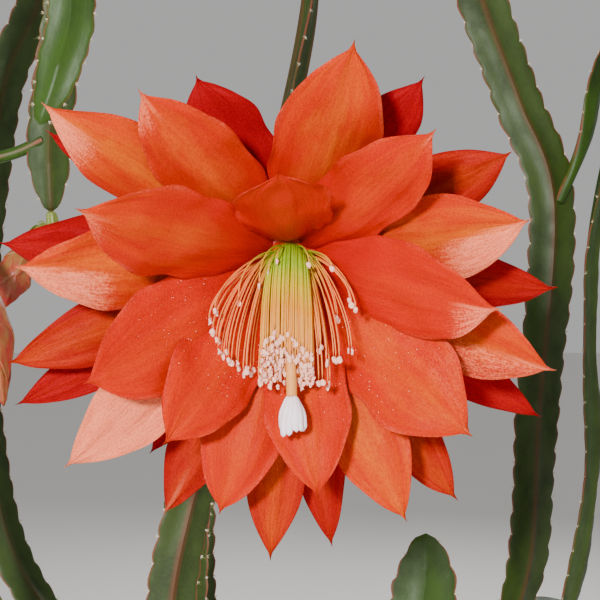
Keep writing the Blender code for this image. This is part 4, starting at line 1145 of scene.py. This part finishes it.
class EPI_OT_stamens(bpy.types.Operator):
    """Hang the fan of stamens with their anthers"""

    bl_idname = "epiphyllum.stamens"
    bl_label = "Stamens"

    def execute(self, context):
        bloom = context.scene.epi_bloom
        threads = new_shape()
        places = []
        for corners, side in self.paths(bloom.curtain):
            self.add_thread(threads, corners, side)
            tip = (corners[3] - corners[2]).normalized()
            size = 0.85 if side == 0.0 else 1.0
            places.append(Matrix.Translation(corners[3] * MM) @ pointing(tip, 9 * len(places))
                          @ Matrix.Scale(size, 4))
        set_in_flower(threads)
        skin = filament_skin("stamen_thread", linear("#E8913E"), linear("#EC7A3A"))
        add_piece("stamen_threads", threads, skin, "stamen", "bloom_stamens")
        anthers = bmesh.new()
        scatter(anthers, [self.anther(seed) for seed in range(7)], places)
        set_in_flower(anthers)
        add_piece("anthers", anthers, powdery("anther_pollen", bloom.pollen, 0.25, 0.08, 0.25),
                  "stamen", "bloom_stamens", crease=50.0)
        return {"FINISHED"}

    def paths(self, curtain):
        """Corners and sideways spread of each stamen."""
        dice = random.Random(11)
        abreast = curtain // CURTAIN_LAYERS
        for layer in range(CURTAIN_LAYERS):
            radius = CURTAIN_ROOT_RADIUS - LAYER_GAP_AT_ROOT * layer
            for index in range(abreast):
                share = (index + 0.5 * (layer % 2) + 0.25) / abreast
                turn = radians(blend(-80.0, 80.0, share))
                root = Vector((radius * sin(turn), radius * cos(turn), STAMEN_ROOT_HEIGHT))
                x = blend(*CURTAIN_EDGES, share)
                # The front layers are mostly the shorter ones, so that few anthers are hidden.
                low = blend(dice.random(), (layer + 0.5) / CURTAIN_LAYERS, 0.6)
                top = -16.5 - 0.9 * abs(x + 2.5)
                z = blend(top, CURTAIN_FOOT + 1.5 * (2 * share - 1) ** 2, low)
                # Behind the two front layers, the middle stays clear of the style.
                if abs(x - 0.5) < 1.5 and layer > 1:
                    z = blend(-17.5, -20.5, dice.random())
                end = Vector((x + dice.uniform(-0.25, 0.25), -22.0 + LAYER_GAP_AT_END * layer, z))
                yield self.sheaf_corners(root, end), 0.0
        for ends in (LEFT_STAMENS, RIGHT_STAMENS):
            for index, (x, z) in enumerate(ends):
                for twin in range(2):
                    stray = Vector((dice.uniform(-1, 1), 0, dice.uniform(-1.6, 1.6))) * twin
                    end = Vector((x, -18 - 6 * dice.random(), z)) + stray
                    yield self.corners(end, dice, 0.5, 0.42), min(1.0, abs(x) / 16)
        for x, z in SHORT_STAMENS:
            yield self.corners(Vector((x, -17, z)), dice, 0.6, 0.7), 0.6

    def sheaf_corners(self, root, end):
        """Arch out of the throat side by side, and hang in a sheaf that widens evenly."""
        shoulder = to_flower((blend(root.x, end.x, 0.5), end.y + 5.0, 0.94 * root.y + 0.6))
        bottom = to_flower(end)
        drop = to_flower((0, 0, -1))
        fall = (bottom - root).dot(drop)
        return [root, shoulder, bottom - drop * 0.6 * fall, bottom]

    def corners(self, end, dice, throw, hang):
        """Leave the throat forwards and to the side, and hang down to the end."""
        turn = radians(90 - 5.0 * end.x) + dice.uniform(-0.5, 0.5)
        radius = 3.6 * sqrt(dice.random())
        start = round_axis(turn, radius, STAMEN_ROOT_HEIGHT)
        shoulder = to_flower((throw * end.x, -12 + dice.uniform(-2, 2),
                              radius * sin(turn) + 0.5 + 0.08 * abs(end.x) + dice.random()))
        bottom = to_flower(end)
        drop = to_flower((0, 0, -1))
        fall = (bottom - start).dot(drop)
        return [start, shoulder, bottom - drop * hang * fall, bottom]

    def add_thread(self, bm, corners, side):
        """A thin tube along the curve of the corners, marked with its length from the root."""
        steps = 22
        route = [bezier(corners, step / steps) for step in range(steps + 1)]
        reach = [0.0]
        for first, second in zip(route, route[1:]):
            reach.append(reach[-1] + (second - first).length)

        def place(turn, rise):
            step = round(rise * steps)
            along = (route[min(step + 1, steps)] - route[max(step - 1, 0)]).normalized()
            aside = (Vector((1, 0, 0)) - along * along.x).normalized()
            closing = 0.0 if step in (0, steps) else 1.0
            radius = FILAMENT_RADIUS * blend(1.2, 0.85, rise) * blend(1, 0.85, side) * closing
            point = on_ring((route[step], aside, along.cross(aside)), turn, radius)
            return point, (rise, 0.0, reach[step], 0.0, side, 0.0)

        loft(bm, 5, steps, place)

    def anther(self, seed):
        """A two-lobed pollen sac that hangs from its thread."""
        dice = random.Random(seed)
        shape = new_shape()
        bend = dice.uniform(-0.45, 0.45)
        plump = dice.uniform(0.8, 1.2)

        def place(turn, rise):
            angle = 2 * pi * turn
            belly = sqrt(max(0.0, 1 - (2 * rise - 1) ** 2)) ** 0.7
            lobes = 1 - 0.35 * cos(angle) ** 2
            radius = ANTHER_RADIUS * plump * belly * lobes
            point = Vector((radius * cos(angle), 1.25 * radius * sin(angle),
                            ANTHER_LENGTH * (rise - 0.15)))
            point.x += bend * sin(pi * rise)
            lump = noise.noise(point * 1.6 + Vector((9.0 * seed, 0, 0)))
            return point * (1 + 0.5 * lump * belly), (rise, 0.0, 0.0, 0.0, 0.0, 0.0)

        loft(shape, 8, 6, place)
        return template(shape)


class EPI_OT_style(bpy.types.Operator):
    """Shape the style and its many-lobed stigma"""

    bl_idname = "epiphyllum.style"
    bl_label = "Style"

    def execute(self, context):
        bloom = context.scene.epi_bloom
        base = Vector(STYLE_ROUTE[-1])
        neck = base + (STIGMA_END - base).normalized() * STYLE_INTO_STIGMA
        route = Route([*STYLE_ROUTE[:-1], tuple(neck)])
        bm = new_shape()

        def place(turn, rise):
            radius = STYLE_RADIUS * (1 + 0.15 * rise ** 4) * (1.0 if 0 < rise < 1 else 0.0)
            point = on_ring(route.ring(route.length * rise), turn, radius)
            return point, (rise, 0.0, route.length * rise, 0.0, 0.0, 0.0)

        loft(bm, 16, 60, place)
        set_in_flower(bm)
        skin = filament_skin("style_flesh", linear("#DC9448"), linear("#DC9448"))
        add_piece("style_column", bm, skin, "style", "bloom_style")
        self.add_stigma(bloom)
        return {"FINISHED"}

    def add_stigma(self, bloom):
        """Finger-like lobes that stand close together in a bell."""
        base = Vector(STYLE_ROUTE[-1])
        span = STIGMA_END - base
        turn_up = pointing(span).to_3x3()
        dice = random.Random(7)
        bm = new_shape()
        for lobe in range(STIGMA_LOBES):
            angle = 2 * pi * lobe / STIGMA_LOBES + dice.uniform(-0.12, 0.12)
            tall = span.length * dice.uniform(0.94, 1.16)
            flare = dice.uniform(2.3, 2.9)
            plump = dice.uniform(0.82, 1.08)
            outward = round_axis(angle)
            sideways = Vector((-sin(angle), cos(angle), 0.0))

            def place(turn, rise, outward=outward, sideways=sideways, tall=tall, flare=flare,
                      plump=plump):
                bell = blend(0.8, flare, ease(0.2 + 1.2 * rise)) + 0.4 * rise ** 6
                size = plump * blend(0.8, 1.3, ease(rise * 2)) * sqrt(1 - rise ** 9)
                size *= sqrt(min(1.0, 8 * rise))
                swing = 2 * pi * turn
                centre = outward * bell + Vector((0, 0, tall * (0.05 + 0.95 * rise)))
                centre += sideways * 0.3 * sin(4 * rise + 5 * plump)
                point = centre + outward * size * 0.8 * cos(swing) + sideways * size * sin(swing)
                return base + turn_up @ point, (rise, 0.0, 0.0, 0.0, 0.0, 0.0)

            loft(bm, 12, 16, place)
        set_in_flower(bm)
        add_piece("stigma", bm, powdery("stigma_papillae", bloom.stigma, 0.3, 0.07, 0.12),
                  "style", "bloom_style", crease=60.0)


class EPI_OT_buds(bpy.types.Operator):
    """Close the unopened buds in their overlapping scales"""

    bl_idname = "epiphyllum.buds"
    bl_label = "Buds"

    def execute(self, context):
        skin = tube_skin("bud_skin")
        for name, seat, leave_by, points in BUDS:
            leave = Vector(leave_by)
            seat = Vector(seat)
            route = Route([seat - leave, seat + leave * 6.0] + [Vector(point) for point in points])
            bm = new_shape()
            self.add_body(bm, route)
            self.add_scales(bm, route)
            add_piece(name + "_skin", bm, skin, "bud", name)
        return {"FINISHED"}

    def skin_point(self, route, turn, rise, proud=0.0):
        """A point on the ribbed bud, or so many millimetres proud of it."""
        radius = read_outline(BUD_OUTLINE, rise) * (1 + 0.1 * cos(10 * pi * turn)) + proud
        return on_ring(route.ring(route.length * rise), turn, radius)

    def add_body(self, bm, route):
        def place(turn, rise):
            point = self.skin_point(route, turn, rise)
            if rise in (0.0, 1.0):
                point = route.at(route.length * rise).xyz
            return point, (rise, 0.0, route.length * rise, 20 * turn, rise, 0.0)

        loft(bm, 30, 40, place)

    def add_scales(self, bm, route):
        for index in range(BUD_SCALES):
            share = index / BUD_SCALES
            foot = blend(0.12, 0.62, share)
            reach = blend(0.1, 0.34, share)
            turn = SCALE_TURN * index
            spread = blend(0.1, 0.2, share)

            def place(across, rise, foot=foot, reach=reach, turn=turn, spread=spread):
                column, face = two_faced(across, rise)
                width = spread * (1 - rise ** 2.2) * (0.5 + 0.5 * ease(rise * 3))
                where = min(0.995, foot + reach * rise)
                proud = 0.35 + 0.5 * rise + 0.25 * face
                point = self.skin_point(route, turn + width * column, where, proud)
                return point, (rise, column, route.length * where, 8 * column, where, 0.0)

            loft(bm, 12, 14, place)


# Pot, soil and stage

def pot_inner_radius(height):
    low = POT_FOOT_RADIUS - POT_WALL + 2.0
    high = POT_RIM_RADIUS - POT_WALL
    return blend(low, high, (height - POT_FLOOR) / (POT_HEIGHT - POT_FLOOR))


class EPI_OT_pot(bpy.types.Operator):
    """Throw the clay pot and drill its drain holes"""

    bl_idname = "epiphyllum.pot"
    bl_label = "Pot"

    def execute(self, context):
        collar_low = POT_HEIGHT - COLLAR_HEIGHT
        profile = [
            (0.0, 0.0), (POT_FOOT_RADIUS - 2.0, 0.0), (POT_FOOT_RADIUS, 2.0),
            (POT_RIM_RADIUS - COLLAR_STEP - 3.0, collar_low),
            (POT_RIM_RADIUS - 2.5, collar_low + 1.5), (POT_RIM_RADIUS - 1.5, collar_low + 4.0),
            (POT_RIM_RADIUS, POT_HEIGHT - 3.0), (POT_RIM_RADIUS - 2.5, POT_HEIGHT),
            (POT_RIM_RADIUS - POT_WALL + 2.0, POT_HEIGHT),
            (pot_inner_radius(POT_HEIGHT - 3.0), POT_HEIGHT - 3.0),
            (pot_inner_radius(POT_FLOOR), POT_FLOOR), (0.0, POT_FLOOR),
        ]
        rows = len(profile) - 1

        def place(turn, rise):
            return round_axis(2 * pi * turn, *profile[round(rise * rows)]), ()

        bm = new_shape()
        loft(bm, 144, rows, place)
        rings = [edge for edge in bm.edges if edge.calc_face_angle(0.0) > radians(15)]
        bmesh.ops.bevel(bm, geom=rings, offset=0.9 * MM, segments=3, profile=0.5,
                        affect="EDGES", material=-1)
        pot = add_piece("clay_pot", bm, fired_clay(), "clay", "pot")
        self.drill(pot)
        return {"FINISHED"}

    def drill(self, pot):
        """Cut the drain holes, which are cut once the clay is leather-hard."""
        drill_bit = bmesh.new()
        for index in range(DRAIN_HOLES):
            turn = 2 * pi * index / DRAIN_HOLES + pi / 2
            spot = round_axis(turn, DRAIN_CIRCLE_RADIUS, POT_FLOOR / 2) * MM
            bmesh.ops.create_cone(drill_bit, cap_ends=True, segments=40,
                                  radius1=DRAIN_HOLE_RADIUS * MM, radius2=DRAIN_HOLE_RADIUS * MM,
                                  depth=2 * POT_FLOOR * MM, matrix=Matrix.Translation(spot))
        mesh = template(drill_bit)
        cutter = put_in_scene("drill", mesh)
        boolean = pot.modifiers.new("drain holes", "BOOLEAN")
        boolean.operation = "DIFFERENCE"
        boolean.object = cutter
        depsgraph = bpy.context.evaluated_depsgraph_get()
        cut = bpy.data.meshes.new_from_object(pot.evaluated_get(depsgraph))
        pot.modifiers.clear()
        pot.data = cut
        bpy.data.objects.remove(cutter, do_unlink=True)
        bpy.data.meshes.remove(mesh)


def soil_height(x, y):
    """Height of the crumbly soil at a place, in millimetres."""
    spot = Vector((x, y, 0.0))
    out = hypot(x, y) / pot_inner_radius(SOIL_EDGE)
    lumps = 1.3 * noise.noise(spot / 13) + 0.9 * noise.noise(spot / 4.5)
    return SOIL_EDGE + SOIL_CROWN * (1 - out) + lumps * min(1.0, 6 * (1 - out))


class EPI_OT_soil(bpy.types.Operator):
    """Fill the pot with potting mix, bark chips and white grains"""

    bl_idname = "epiphyllum.soil"
    bl_label = "Soil"

    def execute(self, context):
        settings = context.scene.epi_pot
        floor = POT_FLOOR + GAP
        edge = pot_inner_radius(SOIL_EDGE) - GAP
        rows = 62

        def place(turn, rise):
            row = round(rise * rows)
            angle = 2 * pi * turn
            if row == 0:
                return Vector((0, 0, floor)), (0.0,)
            if row == 1:
                return round_axis(angle, pot_inner_radius(floor) - GAP, floor), (0.0,)
            radius = edge * (rows - row) / (rows - 2)
            x, y = radius * cos(angle), radius * sin(angle)
            return Vector((x, y, soil_height(x, y))), (rise,)

        bm = new_shape()
        loft(bm, 120, rows, place)
        earth = crumbly("potting_mix", settings.soil, linear("#17100B"), 1.1)
        add_piece("potting_mix", bm, earth, "soil", "soil", crease=60.0)
        chips = crumbly("composted_bark", settings.chip, linear("#2B1B11"), 0.9)
        self.add_crumbs("bark_chips", settings.bark_chips, (1.2, 3.6), 0.45, edge, chips, 3)
        grains = crumbly("perlite", settings.perlite, linear("#BDB6A6"), 0.5)
        self.add_crumbs("perlite_grains", settings.perlite_grains, (0.7, 1.7), 0.85, edge,
                        grains, 4)
        return {"FINISHED"}

    def add_crumbs(self, name, count, sizes, flatness, edge, material, seed):
        """Scatter angular crumbs that lie half sunk in the soil."""
        dice = random.Random(seed)
        templates = []
        for kind in range(6):
            crumb = bmesh.new()
            bmesh.ops.create_icosphere(crumb, subdivisions=1, radius=MM)
            for vert in crumb.verts:
                vert.co *= dice.uniform(0.65, 1.25)
            stretch = Vector((dice.uniform(0.9, 1.5), dice.uniform(0.6, 1.0), flatness))
            bmesh.ops.scale(crumb, vec=stretch, verts=crumb.verts)
            templates.append(template(crumb))
        places = []
        for index in range(count):
            size = blend(*sizes, dice.random() ** 2)
            radius = (edge - 2 - size * 1.5) * sqrt(dice.random())
            angle = dice.uniform(0, 2 * pi)
            x, y = radius * cos(angle), radius * sin(angle)
            spot = Vector((x, y, soil_height(x, y) + 0.2 * size * flatness)) * MM
            lean = (dice.uniform(-0.35, 0.35), dice.uniform(-0.35, 0.35), 1.0)
            places.append(Matrix.Translation(spot) @ pointing(lean, dice.uniform(0, 2 * pi))
                          @ Matrix.Scale(size, 4))
        bm = bmesh.new()
        scatter(bm, templates, places)
        add_piece(name, bm, material, "soil", crease=20.0)


class EPI_OT_stage(bpy.types.Operator):
    """Set the floor, the soft lights and the camera"""

    bl_idname = "epiphyllum.stage"
    bl_label = "Stage"

    def execute(self, context):
        stage = context.scene.epi_stage
        bm = bmesh.new()
        bmesh.ops.create_circle(bm, cap_ends=True, segments=96, radius=FLOOR_RADIUS)
        mesh = template(bm)
        mesh.name = "floor"
        mesh.materials.append(painted_floor())
        put_in_scene("floor", mesh)
        for name, spot, size, power in LIGHTS:
            self.add_light(name, spot, size, getattr(stage, power))
        self.set_surroundings(context, stage)
        self.add_camera(context, stage)
        return {"FINISHED"}

    def add_light(self, name, spot, size, power):
        """A square softbox aimed at the flower."""
        light = bpy.data.lights.new(name, "AREA")
        light.size = size
        light.energy = power
        lamp = put_in_scene(name, light)
        lamp.location = spot
        aim = LIGHTS_AIM - Vector(spot)
        lamp.rotation_euler = aim.to_track_quat("-Z", "Y").to_euler()
        lamp.visible_camera = False

    def set_surroundings(self, context, stage):
        world = bpy.data.worlds.new("soft_surroundings")
        world.use_nodes = True
        background = world.node_tree.nodes["Background"]
        background.inputs["Color"].default_value = (*stage.sky, 1.0)
        background.inputs["Strength"].default_value = SURROUNDINGS_STRENGTH
        context.scene.world = world

    def add_camera(self, context, stage):
        """A level camera a little below the flower, with a narrow view."""
        data = bpy.data.cameras.new("camera")
        data.sensor_width = 36.0
        data.lens = CAMERA_LENS
        data.clip_start = 0.01
        camera = put_in_scene("camera", data)
        camera.location = (0.0, THROAT.y * MM - stage.distance, CAMERA_HEIGHT)
        camera.rotation_euler = (radians(90.0), 0.0, 0.0)
        context.scene.camera = camera


class EPI_PT_panel(bpy.types.Panel):
    """Lists the steps of the build"""

    bl_idname = "EPI_PT_panel"
    bl_label = "Epiphyllum"
    bl_space_type = "VIEW_3D"
    bl_region_type = "UI"
    bl_category = "Epiphyllum"

    def draw(self, context):
        for step in STEPS:
            self.layout.operator(step.bl_idname)
        for name in SETTINGS:
            settings = getattr(context.scene, name)
            box = self.layout.box()
            for key in settings.bl_rna.properties.keys():
                if key not in ("rna_type", "name"):
                    box.prop(settings, key)


STEPS = (EPI_OT_pot, EPI_OT_soil, EPI_OT_stems, EPI_OT_tepals, EPI_OT_throat, EPI_OT_stamens,
         EPI_OT_style, EPI_OT_buds, EPI_OT_stage)
SETTINGS = {"epi_bloom": EPI_PG_bloom, "epi_stems": EPI_PG_stems, "epi_pot": EPI_PG_pot,
            "epi_stage": EPI_PG_stage}


def register():
    for kind in (*SETTINGS.values(), *STEPS, EPI_PT_panel):
        bpy.utils.register_class(kind)
    for name, kind in SETTINGS.items():
        setattr(bpy.types.Scene, name, PointerProperty(type=kind))


def unregister():
    for name in SETTINGS:
        delattr(bpy.types.Scene, name)
    for kind in reversed((*SETTINGS.values(), *STEPS, EPI_PT_panel)):
        bpy.utils.unregister_class(kind)


def main():
    register()
    for step in STEPS:
        group, action = step.bl_idname.split(".")
        getattr(getattr(bpy.ops, group), action)()


if __name__ == "__main__":
    main()
